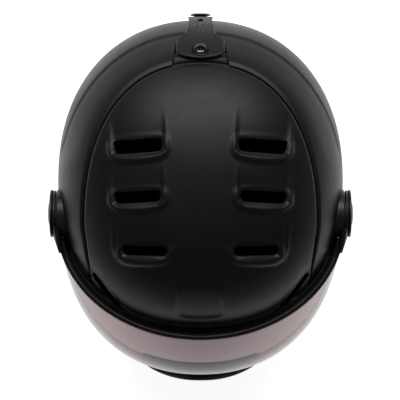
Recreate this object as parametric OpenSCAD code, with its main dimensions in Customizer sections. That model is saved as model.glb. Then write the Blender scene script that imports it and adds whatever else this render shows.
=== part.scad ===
// Ski helmet with a tilting visor, a fit dial, a goggle retainer and a magnetic chin buckle.
// Millimetres. +Z is up, the front is -Y, and z = 0 is the flat foot of the ear pads.

/* [Shell] */
// Half of the shell's greatest width
shell_half_w = 117; // [115:0.5:119]
// Shell length in front of its widest section
shell_front = 122; // [120:0.5:124]
// Shell length behind its widest section
shell_rear = 131.6; // [130:0.2:133]
// Height of the crown above the widest section
shell_rise = 104; // [102:0.5:106]
// Wall of the moulded shells
shell_wall = 2.6; // [2:0.1:2.8]
// Gap of the seam between the two shells
seam_gap = 1.8; // [0.8:0.1:2.4]
// Width of the crown panel, half of it
crown_half_w = 93.2; // [90:0.2:95]

/* [Liner and pads] */
// Half width of the head cavity
head_half_w = 82; // [79:0.5:84]
// Half length of the head cavity
head_half_l = 102; // [99:0.5:104]
// Thickness of the comfort pads
pad_thick = 6; // [4:0.5:8]
// Thickness of the ear pads
ear_thick = 20; // [16:1:22]

/* [Visor] */
// Height of the visor's pivots
pivot_z = 130; // [129:0.5:132]
// Thickness of the lens
lens_wall = 2.2; // [1.8:0.1:2.4]
// Radius of the pivot caps
hub_r = 19.5; // [18:0.5:20]
// Diameter of the pivot screws
pivot_screw_d = 5; // [4:0.5:6]

/* [Fit system] */
// Radius of the head band
band_r = 72; // [70:0.5:73]
// Radius of the dial
dial_r = 15; // [13:0.5:16]
// Number of pinion teeth
pinion_teeth = 10; // [10:1:10]

/* [Straps] */
// Width of the chin webbing
web_w = 20; // [16:1:22]
// Thickness of the chin webbing
web_t = 1.8; // [1.4:0.1:2]

/* [Hidden] */

$fn = 64;
mid_y = 14;              // y of the shell's widest section
mid_z = 118;             // z of the shell's widest section
skirt = 150;             // how fast the wall draws in below the widest section
plan_n = 2.2;            // superellipse exponent in plan
side_n = 2.15;           // superellipse exponent in elevation
columns = 72;            // facets round the helmet
rows = 12;               // facets from the rim to the crown
top_tilt = 87;           // the last ring stops this far up, in degrees
liner_inset = shell_wall + 0.8;
head_y = 18;
head_z = 108;
head_rise = 84;
rim_lift = 2;            // the liner ends this far above the shell's edge
pin_hole_r = 2.7;        // holes in the foam for pins of 2.4
anchor_y = [-42, 52];    // front and rear anchors of the chin strap
anchor_x = [59, 65.5];   // where the webbing passes them
anchor_z = 97;
pad_gap = 1.2;           // comfort pads stand this far off the foam
pivot_y = -13;
base_face = 117.2;       // x of the outer face of the pivot bases
tab_face = 118;          // x of the inner face of the lens tabs
tab_wall = 2;
cap_face = tab_face + tab_wall + 0.4;
cap_outer = 124.8;
fit_y = 110;
fit_z = 36;
fit_tilt = 28;           // the head band climbs towards the temples by this angle
band_wall = 2;
tooth = 1.2;             // module of the pinion and the racks
pinion_r = pinion_teeth * tooth / 2;
strap_top = [64, 4, 37]; // where the two upper legs of a chin strap meet
filter_z = [186, 116];   // height of the filters in the crown vents and in the front vents
filter_t = 4;
gasket_drop = 9.4;       // the brow lip lies this far below the lens's top edge
gasket_t = 3;
gasket_inset = 4.4;      // and ends this far behind the lens's face
gasket_reach = 81;       // angle of its ends from the front

// ---------- helpers ----------

function power(value, exponent) = sign(value) * pow(abs(value), exponent);

// Point of a superellipse in plan, at a parameter angle
function plan_point(angle, half_w, front, rear, y0, n) =
    [half_w * power(cos(angle), 2 / n),
     y0 + (sin(angle) < 0 ? front : rear) * power(sin(angle), 2 / n)];

// Height of the shell's lower edge: high over the brow, low at the nape
function edge_z(angle) = 85 + (sin(angle) < 0 ? 27 : -35) * pow(sin(angle), 2);

// Tilt at which a dome of a given rise or skirt reaches a height
function tilt_at(height, base, rise, drop) =
    height >= base
        ? asin(pow((height - base) / rise, side_n / 2))
        : -asin(pow((base - height) / drop, side_n / 2));

// Point of the shell's outer surface, moved inwards by inset
function shell_point(angle, tilt, inset) =
    let (
        reach = pow(cos(tilt), 2 / side_n),
        flat = plan_point(angle, shell_half_w - inset, shell_front - inset,
                          shell_rear - inset, 0, plan_n),
        lift = (tilt < 0 ? skirt : shell_rise - inset) * power(sin(tilt), 2 / side_n)
    )
    [flat.x * reach, mid_y + flat.y * reach, mid_z + lift];

// Point of the head cavity's surface, moved inwards by inset
function head_point(angle, tilt, inset) =
    let (
        reach = cos(tilt),
        flat = plan_point(angle, head_half_w - inset, head_half_l - inset,
                          head_half_l - inset, 0, 2),
        lift = (tilt < 0 ? 220 : head_rise - inset) * sin(tilt)
    )
    [flat.x * reach, head_y + flat.y * reach, head_z + lift];

function head_tilt_at(height, inset) =
    height >= head_z
        ? asin(min(1, (height - head_z) / (head_rise - inset)))
        : -asin((head_z - height) / 220);

function steps(first, last, count) =
    [for (i = [0:count]) first + (last - first) * i / count];

function turn(count) = [for (i = [0:count - 1]) 360 * i / count];

function backwards(list) = [for (i = [len(list) - 1:-1:0]) list[i]];

// Ring of the shell's surface, a share of the way from the rim to the crown
function shell_ring(share, inset, lift) =
    [for (angle = turn(columns))
        let (low = tilt_at(edge_z(angle) + lift, mid_z, shell_rise - inset, skirt))
        shell_point(angle, low + (top_tilt - low) * share, inset)];

function head_ring(share, inset, lift) =
    [for (angle = turn(columns))
        let (low = head_tilt_at(edge_z(angle) + lift, inset))
        head_point(angle, low + (top_tilt - low) * share, inset)];

// Closed solid through rings of points. Each ring has the same even count and runs
// counter-clockwise seen from the last ring.
module skin(rings) {
    n = len(rings[0]);
    last = len(rings) - 1;
    start = last * n;
    sides = [for (r = [0:last - 1], i = [0:n - 1])
        let (a = r * n + i, b = r * n + (i + 1) % n, c = b + n, d = a + n)
        each [[a, d, c], [a, c, b]]];
    ends = [for (i = [0:n / 2 - 2])
        let (j = n - 1 - i)
        each [
            [i, i + 1, j - 1], [i, j - 1, j],
            [start + i, start + j - 1, start + i + 1], [start + i, start + j, start + j - 1]
        ]];
    polyhedron(points = [for (ring = rings) each ring], faces = concat(sides, ends), convexity = 6);
}

// Closed ring of sections, each of which runs counter-clockwise seen from the next one
module loop(sections) {
    n = len(sections[0]);
    count = len(sections);
    faces = [for (r = [0:count - 1], i = [0:n - 1])
        let (
            a = r * n + i,
            b = r * n + (i + 1) % n,
            c = ((r + 1) % count) * n + (i + 1) % n,
            d = ((r + 1) % count) * n + i
        )
        each [[a, d, c], [a, c, b]]];
    polyhedron(points = [for (section = sections) each section], faces = faces, convexity = 6);
}

// Joins its children into one closed mesh and leaves their size alone
module one_mesh() resize([0, 0, 0]) union() children();

// Cylinder along X, from x = from to x = to
module along_x(r, from, to) translate([from, 0, 0]) rotate([0, 90, 0]) cylinder(r = r, h = to - from);

// Cylinder along Y
module along_y(r, from, to) translate([0, from, 0]) rotate([-90, 0, 0]) cylinder(r = r, h = to - from);

module box(low, high) translate(low) cube(high - low);

// Child on the left (-X) or right (+X) side
module side(s) mirror([s < 0 ? 1 : 0, 0, 0]) children();

module at_pivot() translate([0, pivot_y, pivot_z]) children();

// ---------- shells and liner ----------

module shell_skin(outer_inset, inner_inset, shares)
    skin(concat(
        [for (share = backwards(shares)) shell_ring(share, inner_inset, 0)],
        [for (share = shares) shell_ring(share, outer_inset, 0)]));

// Outline of the crown panel in plan, grown by a margin
module crown_outline(grow) {
    rear = [for (angle = steps(0, 180, 40))
        plan_point(angle, crown_half_w + grow, 0, 130 + grow, -24, 2.3)];
    front_x = 88 + grow;
    polygon(concat(rear, [[-front_x, -66], [-front_x, -140], [front_x, -140], [front_x, -66]]));
}

// Slots of the vents: the three crown vents on each side and the vent beside the visor.
// Each runs from a height of its own group up to to_z.
module vent_slots(crown_z, front_z, crown_to, front_to, grow) {
    crown_vents = [[48.5, 40, 38.8, 11.4, -4], [49, 0.2, 37, 10, -3], [43.4, -42, 35.6, 8.4, 1.5]];
    for (s = [-1, 1]) side(s) {
        for (v = crown_vents)
            translate([v[0], v[1], crown_z]) rotate(v[4]) linear_extrude(crown_to - crown_z)
                offset(r = 3 + grow, $fn = 12) square([v[2] - 6, v[3] - 6], center = true);
        translate([75, -76.5, front_z]) rotate(54) linear_extrude(front_to - front_z)
            offset(r = 1.5 + grow, $fn = 8) square([36, 1.5], center = true);
    }
}

module open_vents(grow) vent_slots(100, 100, 240, 240, grow);

// Trapezoid of the goggle retainer in plan
module retainer_outline(grow)
    polygon([[-22.8 - grow, 103], [22.8 + grow, 103], [18.3 + grow, 127 + grow], [-18.3 - grow, 127 + grow]]);

module pivot_holes(r, from)
    for (s = [-1, 1]) side(s) at_pivot() along_x(r, from, 140);

module upper_shell() color([0.13, 0.13, 0.14])
    one_mesh() difference() {
        intersection() {
            shell_skin(0, shell_wall, steps(0, 1, rows));
            translate([0, 0, 40]) linear_extrude(200) crown_outline(0);
        }
        open_vents(0);
    }

module lower_shell() color([0.14, 0.14, 0.15])
    one_mesh() difference() {
        shell_skin(0, shell_wall, steps(0, 1, rows));
        translate([0, 0, 40]) linear_extrude(200) crown_outline(seam_gap);
        translate([0, 0, 150]) linear_extrude(60) retainer_outline(0.35);
        pivot_holes(hub_r + 0.5, 90);
        translate([0, 0, 120]) along_y(2.6, 130, 160);
    }

module eps_liner() color([0.2, 0.2, 0.2])
    one_mesh() difference() {
        $fn = 24;
        skin(concat(
            [for (share = steps(1, 0, 8)) head_ring(share, 0, rim_lift)],
            [for (share = steps(0, 1, rows)) shell_ring(share, liner_inset, rim_lift)]));
        open_vents(-0.5);
        pivot_holes(hub_r + 0.5, 105.6);
        pivot_holes(4.6, 90);
        for (s = [-1, 1]) side(s) {
            translate([0, 87, 84.5]) along_x(pin_hole_r, 50, 72);
            for (y = [6, 22]) translate([88, y, 80]) cylinder(r = pin_hole_r, h = 14);
            for (y = anchor_y) translate([40, y, anchor_z]) along_x(pin_hole_r, 0, 45);
        }
        translate([0, 0, 76]) along_y(pin_hole_r, 100, 132);
        translate([0, 0, 120]) along_y(4.5, 130, 150);
        screw_axis() translate([0, 0, -12]) cylinder(r = 3.4, h = 20);
    }

module rim_trim() color([0.05, 0.05, 0.05])
    loop([for (angle = turn(columns))
        let (
            low = edge_z(angle),
            tilt = tilt_at(low, mid_z, shell_rise, skirt),
            out = shell_point(angle, tilt, -1),
            in = shell_point(angle, tilt, 6)
        )
        [[out.x, out.y, low - 3.4], [in.x, in.y, low - 3.4], [in.x, in.y, low - 0.4], [out.x, out.y, low - 0.4]]]);

// Open-cell foam pressed into the liner's vents to keep snow out
module vent_filters() color([0.03, 0.03, 0.03])
    vent_slots(filter_z[0], filter_z[1], filter_z[0] + filter_t, filter_z[1] + filter_t, -0.8);

// Where a place in plan meets the front of the shell at a height, moved outwards by grow
function on_front(p, z, grow) =
    let (
        reach = pow(1 - pow((z - mid_z) / shell_rise, side_n), 1 / side_n),
        x = p.x,
        y = p.y - mid_y,
        share = reach / pow(pow(abs(x) / (shell_half_w + grow), plan_n)
                            + pow(abs(y) / (shell_front + grow), plan_n), 1 / plan_n)
    )
    [x * share, mid_y + y * share];

// Rubber lip on the shell's brow that closes the gap below the visor's frame
module brow_gasket() color([0.02, 0.02, 0.02])
    skin([for (t = steps(-gasket_reach, gasket_reach, 40))
        let (
            z = lens_top_z(t) - gasket_drop,
            out = lens_point(t, 0, gasket_inset),
            in = on_front(out, z, 0.4)
        )
        [[in.x, in.y, z], [in.x, in.y, z - gasket_t], [out.x, out.y, z - gasket_t], [out.x, out.y, z]]]);

// ---------- goggle retainer ----------

// Point of the rear centre line, standing off the shell by a distance
function rear_point(x, tilt, off) =
    let (p = shell_point(90, tilt, -off)) [x, p.y, p.z];

// Half width of the rubber strap at a tilt
function strap_half_w(tilt) =
    tilt > 35 ? 19.2
    : tilt > 30 ? 12 + (tilt - 30) * 1.44
    : tilt > 15 ? 9.3 + (tilt - 15) * 0.18
    : tilt > 0 ? 9.3
    : 10 - pow(tilt / 7, 2) * 3.5;

hinge_tilt = 31;
stud_z = 120;

// Tilts read downwards, so that every section is counter-clockwise seen from the end
module rubber(from, to, count)
    skin([for (tilt = steps(from, to, count))
        let (
            w = strap_half_w(tilt),
            low = 0.4,
            high = tilt > 10 ? 2.6 : 2
        )
        [rear_point(w, tilt, low), rear_point(-w, tilt, low), rear_point(-w, tilt, high), rear_point(w, tilt, high)]]);

module retainer_base() color([0.16, 0.16, 0.17])
    difference() {
        one_mesh() intersection() {
            shell_skin(0, shell_wall, steps(0, 1, rows));
            difference() {
                translate([0, 0, 150]) linear_extrude(60) retainer_outline(0);
                translate([0, 0, 140]) linear_extrude(80) crown_outline(seam_gap);
            }
        }
        screw_axis() translate([0, 0, -12]) cylinder(r = 2.9, h = 24);
    }

screw_tilt = 41.2;
screw_at = shell_point(90, screw_tilt, 0);
screw_lean = 41.8;

module screw_axis() translate(screw_at) rotate([-screw_lean, 0, 0]) children();

module retainer_strap_root() color([0.03, 0.03, 0.03])
    difference() {
        one_mesh() rubber(45, hinge_tilt + 0.3, 6);
        screw_axis() translate([0, 0, -2]) cylinder(r = 5, h = 12);
    }

module retainer_strap() color([0.03, 0.03, 0.03])
    difference() {
        one_mesh() difference() {
            rubber(hinge_tilt - 0.3, -7, 16);
            box([-2, 128.5, 145], [2, 160, 170]);
        }
        translate([0, 0, stud_z]) along_y(4.2, 140, 155);
    }

module retainer_screw() color([0.2, 0.2, 0.22])
    screw_axis() difference() {
        union() {
            translate([0, 0, -8]) cylinder(r = 2.5, h = 12);
            translate([0, 0, 3.6]) cylinder(r1 = 5.3, r2 = 4.4, h = 1.8);
        }
        for (turn_by = [0, 90]) rotate(turn_by) box([-3, -0.55, 4.2], [3, 0.55, 6]);
    }

module retainer_ring() color([0.25, 0.25, 0.27])
    screw_axis() difference() {
        translate([0, 0, 3.1]) cylinder(r = 6.7, h = 0.45);
        cylinder(r = 3, h = 8);
    }

module snap_cap() color([0.1, 0.1, 0.1])
    translate([0, 0, stud_z]) difference() {
        union() {
            along_y(8.3, 148.9, 149.8);
            translate([0, 149.8, 0]) rotate([-90, 0, 0]) cylinder(r1 = 8.3, r2 = 7.4, h = 0.7);
            along_y(5.6, 147.8, 149);
        }
        along_y(4.2, 140, 149.2);
    }

module snap_stud() color([0.55, 0.55, 0.57])
    translate([0, 0, stud_z]) {
        along_y(3.2, 145.9, 147.6);
        along_y(2.3, 138, 146);
    }

// ---------- visor ----------

lens_top_a = 117;
lens_top_b = 94.4;
lens_low_a = 113.5;
lens_mid_b = 128.5;
lens_centre_y = -20;
lens_curl_at = 0.78;     // share of the height at which the lens bulges most
lens_curl = 4.5;
frame_reach = 80;        // angle of the frame's ends from the front
seal_reach = 72;

function lens_b(v) =
    lens_top_b + (lens_mid_b - lens_top_b) * sin(90 * min(v / lens_curl_at, 1))
    - lens_curl * pow(max(0, (v - lens_curl_at) / (1 - lens_curl_at)), 2);

function lens_top_z(t) = 132 + 18 * cos(t);

function lens_low_z(t) =
    34 + 62 * pow(abs(sin(t)), 5) + 13 * exp(-pow(lens_low_a * sin(t) / 24, 2));

// Point of the lens: t turns from the front (0) to the temples, v runs from top to bottom
function lens_point(t, v, inset) =
    let (
        a = lens_top_a + (lens_low_a - lens_top_a) * v - inset,
        b = lens_b(v) - inset,
        n = 2 + 0.2 * v
    )
    [a * power(sin(t), 2 / n),
     lens_centre_y - b * power(cos(t), 2 / n),
     lens_top_z(t) + (lens_low_z(t) - lens_top_z(t)) * v];

function lens_reach(v) = 84 - 10 * v;

module lens_sheet() {
    shares = steps(0, 1, 9);
    skin([for (share = steps(-1, 1, 40))
        concat(
            [for (v = shares) lens_point(share * lens_reach(v), v, 0)],
            [for (v = backwards(shares)) lens_point(share * lens_reach(v), v, lens_wall)])]);
}

// Round ear of the lens at the right pivot, blended into the side of the lens
module lens_tab() hull() {
    at_pivot() along_x(hub_r - 0.7, tab_face, tab_face + tab_wall);
    box([112.4, -45, 112], [114.6, -40, 143]);
}

module visor_lens() color([0.55, 0.48, 0.48, 0.6])
    difference() {
        one_mesh() difference() {
            union() {
                lens_sheet();
                for (s = [-1, 1]) side(s) lens_tab();
            }
            for (s = [-1, 1]) side(s) at_pivot() along_x(hub_r + 0.8, 100, tab_face);
        }
        at_pivot() along_x(pivot_screw_d / 2 + 0.05, -tab_face - tab_wall - 1, -tab_face + 1);
        at_pivot() along_x(pivot_screw_d / 2 + 0.05, tab_face - 1, tab_face + tab_wall + 1);
    }

// Strip behind the lens's top edge, between two insets from the lens's face, from a drop
// below the edge down by a height
module brow_strip(near, far, drop, height, reach)
    skin([for (t = steps(-reach, reach, 40))
        let (
            out = lens_point(t, 0, near),
            in = lens_point(t, 0, far),
            z = out.z - drop
        )
        [[in.x, in.y, z], [in.x, in.y, z - height], [out.x, out.y, z - height], [out.x, out.y, z]]]);

module visor_frame() color([0.03, 0.03, 0.03]) brow_strip(lens_wall + 0.4, 5.1, 0.8, 7, frame_reach);

module visor_brow_seal() color([0.02, 0.02, 0.02]) brow_strip(5.4, 6.6, 1.6, 5, seal_reach);

module visor_nose_guard() color([0.08, 0.07, 0.08])
    skin([for (t = steps(-20, 20, 20))
        let (
            p = lens_point(t, 1, 0),
            swell = cos(t * 4.5),
            front = 4 + 5.7 * swell,
            z = p.z - 0.4
        )
        [[p.x, p.y - front, z], [p.x, p.y - front + 1, z - 3 - 3 * swell], [p.x, p.y + 4.5, z - 3], [p.x, p.y + 4.5, z]]]);

module pivot_base() color([0.04, 0.04, 0.04])
    at_pivot() difference() {
        along_x(hub_r, 106.2, base_face);
        along_x(4.2, 100, 120);
    }

module pivot_insert() color([0.72, 0.58, 0.28])
    at_pivot() difference() {
        along_x(4.1, 94, base_face - 0.2);
        along_x(pivot_screw_d / 2 + 0.05, 93, 120);
    }

module pivot_washer() color([0.75, 0.75, 0.72])
    at_pivot() difference() {
        along_x(11, base_face + 0.1, tab_face - 0.1);
        along_x(pivot_screw_d / 2 + 0.1, 110, 125);
    }

module pivot_screw() color([0.3, 0.3, 0.32])
    at_pivot() difference() {
        union() {
            along_x(pivot_screw_d / 2, 98, tab_face + tab_wall + 0.3);
            along_x(5.5, tab_face + tab_wall + 0.2, tab_face + tab_wall + 2.4);
        }
        translate([tab_face + tab_wall + 1, 0, 0]) rotate([0, 90, 0]) cylinder(r = 1.7, h = 5, $fn = 6);
    }

module pivot_cap() color([0.04, 0.04, 0.04])
    at_pivot() difference() {
        union() {
            along_x(hub_r, cap_face, cap_face + 1.6);
            translate([cap_face + 1.6, 0, 0]) rotate([0, 90, 0])
                cylinder(r1 = hub_r, r2 = 9, h = cap_outer - cap_face - 1.6);
        }
        along_x(6.2, cap_face - 1, tab_face + tab_wall + 2.9);
    }

// ---------- fit system ----------

module in_fit_frame() translate([0, fit_y, fit_z]) rotate([-fit_tilt, 0, 0]) children();

// Strip of a ring round the head band's own upright axis. Angle 0 is the rear centre and
// grows towards +X.
module ring_strip(r1, r2, z1, z2, from, to)
    translate([0, -band_r, z1]) rotate(90 - to)
        rotate_extrude(angle = to - from, $fn = 180) translate([r1, 0]) square([r2 - r1, z2 - z1]);

// Rack teeth on a band, pointing up from z = base. One tooth stands at the rear centre, in
// the gap of the pinion.
module rack(base) {
    pitch = 180 * tooth / band_r;
    for (i = [-2:9])
        translate([0, -band_r, 0]) rotate(-i * pitch)
            translate([0, band_r, base]) rotate([90, 0, 0])
                linear_extrude(band_wall - 0.4, center = true)
                    polygon([[-1.2, -0.3], [1.2, -0.3], [0.45, 2.4], [-0.45, 2.4]]);
}

module band(up) color([0.08, 0.08, 0.08]) in_fit_frame() mirror([0, 0, up]) {
    tail = -pinion_r - 1.5;
    difference() {
        ring_strip(band_r - band_wall / 2, band_r + band_wall / 2, tail - 5, 8, -7.5, 62);
        ring_strip(band_r - 4, band_r + 4, tail, 12, -12, 32);
    }
    rack(tail);
}

module fit_band_right() band(0);

module fit_band_left() mirror([1, 0, 0]) band(1);

module fit_housing() color([0.1, 0.1, 0.1]) in_fit_frame() {
    difference() {
        ring_strip(band_r - 3.2, band_r - 1.4, -18, 18, -23, 23);
        along_y(2.1, -8, 5);
    }
    ring_strip(band_r - 1.4, band_r + 1.4, -18, -15, -23, 23);
    ring_strip(band_r - 1.4, band_r + 1.4, 15, 18, -23, 23);
}

module fit_cover() color([0.12, 0.12, 0.12]) in_fit_frame()
    difference() {
        ring_strip(band_r + 1.5, band_r + 3, -18, 18, -23, 23);
        along_y(4.1, -2, 8);
    }

module fit_pinion() color([0.7, 0.7, 0.68]) in_fit_frame() {
    along_y(2, -3.4, -1);
    along_y(4, 1, 4.5);
    rotate([-90, 0, 0]) translate([0, 0, -1]) linear_extrude(2) {
        circle(r = pinion_r - 1.7);
        for (i = [0:pinion_teeth - 1]) rotate(i * 360 / pinion_teeth)
            polygon([[pinion_r - 2.2, -1.1], [pinion_r + 0.9, -0.4], [pinion_r + 0.9, 0.4], [pinion_r - 2.2, 1.1]]);
    }
}

module fit_dial() color([0.05, 0.05, 0.05]) in_fit_frame()
    difference() {
        union() {
            along_y(dial_r - 1, 4.7, 12);
            for (i = [0:19]) rotate([0, i * 18, 0]) translate([dial_r - 1, 0, 0]) along_y(1.1, 5.2, 11);
        }
        along_y(dial_r - 5, 10.6, 13);
    }

module fit_hanger() color([0.1, 0.1, 0.1])
    difference() {
        union() {
            hull() {
                box([-12, 113.4, 54.4], [12, 115, 58]);
                box([-12, 114.8, 78], [12, 116.4, 84]);
            }
            translate([0, 0, 76]) along_y(2.4, 115.4, 128);
        }
        box([-4, 100, 62], [4, 130, 70]);
    }

// Slotted clip that holds one end of the head band, on a tongue pinned to the liner
module fit_guide() color([0.1, 0.1, 0.1]) {
    difference() {
        union() {
            in_fit_frame() ring_strip(band_r - 3.4, band_r + 3.4, -15.5, 15.5, 46, 52);
            box([50.8, 84, 46], [52.8, 90, 89]);
        }
        in_fit_frame() ring_strip(band_r - 1.6, band_r + 1.6, -13.2, 13.2, 20, 75);
    }
    translate([0, 87, 84.5]) along_x(2.4, 52.6, 70);
}

// ---------- pads ----------

// Pad on the cavity's surface between two angles and two heights
module pad_patch(from, to, low, high, thick, count)
    color([0.12, 0.12, 0.13]) skin([for (angle = steps(from, to, count))
        let (levels = steps(low, high, 4))
        concat(
            [for (z = backwards(levels)) head_point(angle, head_tilt_at(z, pad_gap), pad_gap)],
            [for (z = levels) head_point(angle, head_tilt_at(z, pad_gap + thick), pad_gap + thick)])]);

module brow_pad() pad_patch(215, 325, 117, 139, pad_thick + 1, 20);

module nape_pad() pad_patch(62, 118, 92, 122, pad_thick + 1, 12);

module side_pad_right() pad_patch(-24, 34, 104, 146, pad_thick, 12);

module side_pad_left() mirror([1, 0, 0]) side_pad_right();

module crown_pad() color([0.12, 0.12, 0.13]) {
    tilts = steps(58, top_tilt, 5);
    skin(concat(
        [for (tilt = backwards(tilts)) [for (angle = turn(36)) head_point(angle, tilt, 0.6 + pad_thick)]],
        [for (tilt = tilts) [for (angle = turn(36)) head_point(angle, tilt, 0.6)]]));
}

module ear_pad() color([0.1, 0.1, 0.11])
    translate([72, 0, 0]) rotate([90, 0, 90]) linear_extrude(ear_thick) {
        difference() {
            hull() {
                translate([-22, 12]) circle(r = 12);
                translate([40, 12]) circle(r = 12);
                translate([-24, 66]) circle(r = 16);
                translate([34, 66]) circle(r = 16);
            }
            translate([6, 50]) circle(r = 17);
        }
    }

module ear_clips() color([0.1, 0.1, 0.1])
    for (s = [-1, 1]) side(s) {
        box([78, 1, 82.4], [90, 27, 84.6]);
        for (y = [6, 22]) translate([88, y, 82.4]) cylinder(r = 2.4, h = 10);
    }

// ---------- chin strap ----------

// Webbing along a path of points, with its width set across each point
module webbing(path, width, thick)
    skin([for (p = path)
        let (across = p[1] * width / 2, out = p[2] * thick / 2)
        [p[0] - across - out, p[0] + across - out, p[0] + across + out, p[0] - across + out]]);

// One upper leg, from just above its anchor's rivet to the divider
module strap_leg(anchor, end) {
    run = (end - anchor) / norm(end - anchor);
    across = cross([1, 0, 0], run) / norm(cross([1, 0, 0], run));
    out = cross(run, across);
    difference() {
        webbing([[anchor - 7 * run, across, out], [end, across, out]], 15, web_t);
        translate([0, anchor.y, anchor.z]) along_x(2.6, 50, 75);
    }
}

function strap_route(inner_x) = [
    [strap_top + [0, 0, -3], [0, 1, 0], [1, 0, 0]],
    [[64, 4, 14], [0, 1, 0], [1, 0, 0]],
    [[63.2, 4, 8], [0, 1, 0], [0.92, 0, -0.38]],
    [[60, 4, 4], [0, 1, 0], [0.6, 0, -0.8]],
    [[54, 4, 2.4], [0, 1, 0], [0.12, 0, -0.99]],
    [[inner_x, 4, 2.4], [0, 1, 0], [0, 0, -1]]
];

module strap(inner_x) color([0.07, 0.07, 0.07]) {
    one_mesh() webbing(strap_route(inner_x), web_w, web_t);
    strap_leg([anchor_x[0], anchor_y[0], anchor_z], strap_top + [0, -7, 3]);
    strap_leg([anchor_x[1], anchor_y[1], anchor_z], strap_top + [0, 7, 3]);
}

module strap_left() mirror([1, 0, 0]) strap(-8.2);

module strap_right() strap(49.3);

module strap_divider() color([0.06, 0.06, 0.06])
    difference() {
        translate([60.2, 4, 37]) rotate([90, 0, 90]) linear_extrude(7.6) hull() {
            translate([-10, 2]) circle(r = 5);
            translate([10, 2]) circle(r = 5);
            translate([0, -4]) circle(r = 5);
        }
        box([62, -15, 20], [66.2, 23, 60]);
    }

module strap_anchors() color([0.5, 0.5, 0.52])
    for (s = [-1, 1]) side(s)
        for (i = [0, 1])
            translate([anchor_x[i], anchor_y[i], anchor_z]) {
                along_x(5, -2.4, -1.3);
                along_x(2.3, -1.3, 14);
            }

module chin_pad() color([0.1, 0.1, 0.11])
    difference() {
        hull() for (x = [-45, 0]) for (y = [-8, 16])
            translate([x, y, 0.2]) {
                cylinder(r = 6, h = 1, $fn = 32);
                translate([0, 0, 6.4]) cylinder(r = 5, h = 1, $fn = 32);
            }
        box([-60, -6.6, 1.2], [10, 14.6, 3.6]);
    }

// ---------- magnetic buckle ----------

module buckle_base() color([0.05, 0.05, 0.05])
    difference() {
        box([8, -9, 0.3], [34, 17, 9]);
        box([20, -12, 4.9], [36, 20, 10]);
        box([7, -6.4, 1.2], [9, 14.4, 3.6]);
        translate([27, 4, 3.4]) cylinder(r = 4.1, h = 3);
    }

module buckle_slider() color([0.06, 0.06, 0.06])
    difference() {
        union() {
            box([20.4, -8.6, 5.2], [50, 16.6, 11]);
            box([34.5, -8.6, 0.3], [50, 16.6, 5.2]);
        }
        translate([27, 4, 4]) cylinder(r = 4.1, h = 3);
        box([49, -6.4, 1.2], [51, 14.4, 3.6]);
        for (i = [0:4]) box([24, -5 + i * 4, 10.4], [40, -3.4 + i * 4, 12]);
    }

module buckle_magnet_base() color([0.8, 0.8, 0.82]) translate([27, 4, 3.5]) cylinder(r = 4, h = 1.3);

module buckle_magnet_slider() color([0.8, 0.8, 0.82]) translate([27, 4, 5.3]) cylinder(r = 4, h = 1.6);

module strap_keeper() color([0.04, 0.04, 0.04])
    difference() {
        box([60, -8.4, 20], [68, 16.4, 27]);
        box([62.6, -6.4, 19], [65.4, 14.4, 28]);
    }

// ---------- nodes ----------

upper_shell();
lower_shell();
eps_liner();
rim_trim();
brow_gasket();
vent_filters();
retainer_base();
retainer_strap_root();
retainer_strap();
retainer_screw();
retainer_ring();
snap_cap();
snap_stud();
visor_lens();
visor_frame();
visor_brow_seal();
visor_nose_guard();
side(-1) pivot_base();  // pivot_base_left
side(1) pivot_base();  // pivot_base_right
side(-1) pivot_insert();  // pivot_insert_left
side(1) pivot_insert();  // pivot_insert_right
side(-1) pivot_washer();  // pivot_washer_left
side(1) pivot_washer();  // pivot_washer_right
side(-1) pivot_screw();  // pivot_screw_left
side(1) pivot_screw();  // pivot_screw_right
side(-1) pivot_cap();  // pivot_cap_left
side(1) pivot_cap();  // pivot_cap_right
fit_housing();
fit_cover();
fit_hanger();
fit_dial();
fit_pinion();
fit_band_left();
fit_band_right();
side(-1) fit_guide();  // fit_guide_left
side(1) fit_guide();  // fit_guide_right
brow_pad();
crown_pad();
side_pad_left();
side_pad_right();
nape_pad();
side(-1) ear_pad();  // ear_pad_left
side(1) ear_pad();  // ear_pad_right
ear_clips();
strap_left();
strap_right();
side(-1) strap_divider();  // strap_divider_left
side(1) strap_divider();  // strap_divider_right
strap_anchors();
chin_pad();
buckle_base();
buckle_slider();
buckle_magnet_base();
buckle_magnet_slider();
strap_keeper();
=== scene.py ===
import math

import bmesh
import bpy
import numpy as np
from mathutils import Matrix, Vector


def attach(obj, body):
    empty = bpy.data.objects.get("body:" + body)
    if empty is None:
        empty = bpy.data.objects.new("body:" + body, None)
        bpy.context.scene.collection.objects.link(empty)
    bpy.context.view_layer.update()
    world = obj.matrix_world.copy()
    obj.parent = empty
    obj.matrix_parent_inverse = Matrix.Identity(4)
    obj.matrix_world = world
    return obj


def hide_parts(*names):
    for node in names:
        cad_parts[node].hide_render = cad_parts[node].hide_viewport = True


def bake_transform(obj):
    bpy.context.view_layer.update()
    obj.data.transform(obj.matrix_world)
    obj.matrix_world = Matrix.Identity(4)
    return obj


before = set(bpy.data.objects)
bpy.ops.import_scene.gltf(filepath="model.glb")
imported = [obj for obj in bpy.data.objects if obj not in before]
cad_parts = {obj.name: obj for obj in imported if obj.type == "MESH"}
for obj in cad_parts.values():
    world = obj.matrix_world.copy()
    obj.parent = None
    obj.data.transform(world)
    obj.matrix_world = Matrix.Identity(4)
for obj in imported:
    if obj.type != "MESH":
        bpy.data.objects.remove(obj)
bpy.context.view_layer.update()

# Shapes are worked out in millimetres and degrees, as the frame's own design is, and become
# metres where a mesh is made.
MM = 0.001

# ---------- driving sizes, the same as the frame's ----------

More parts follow.
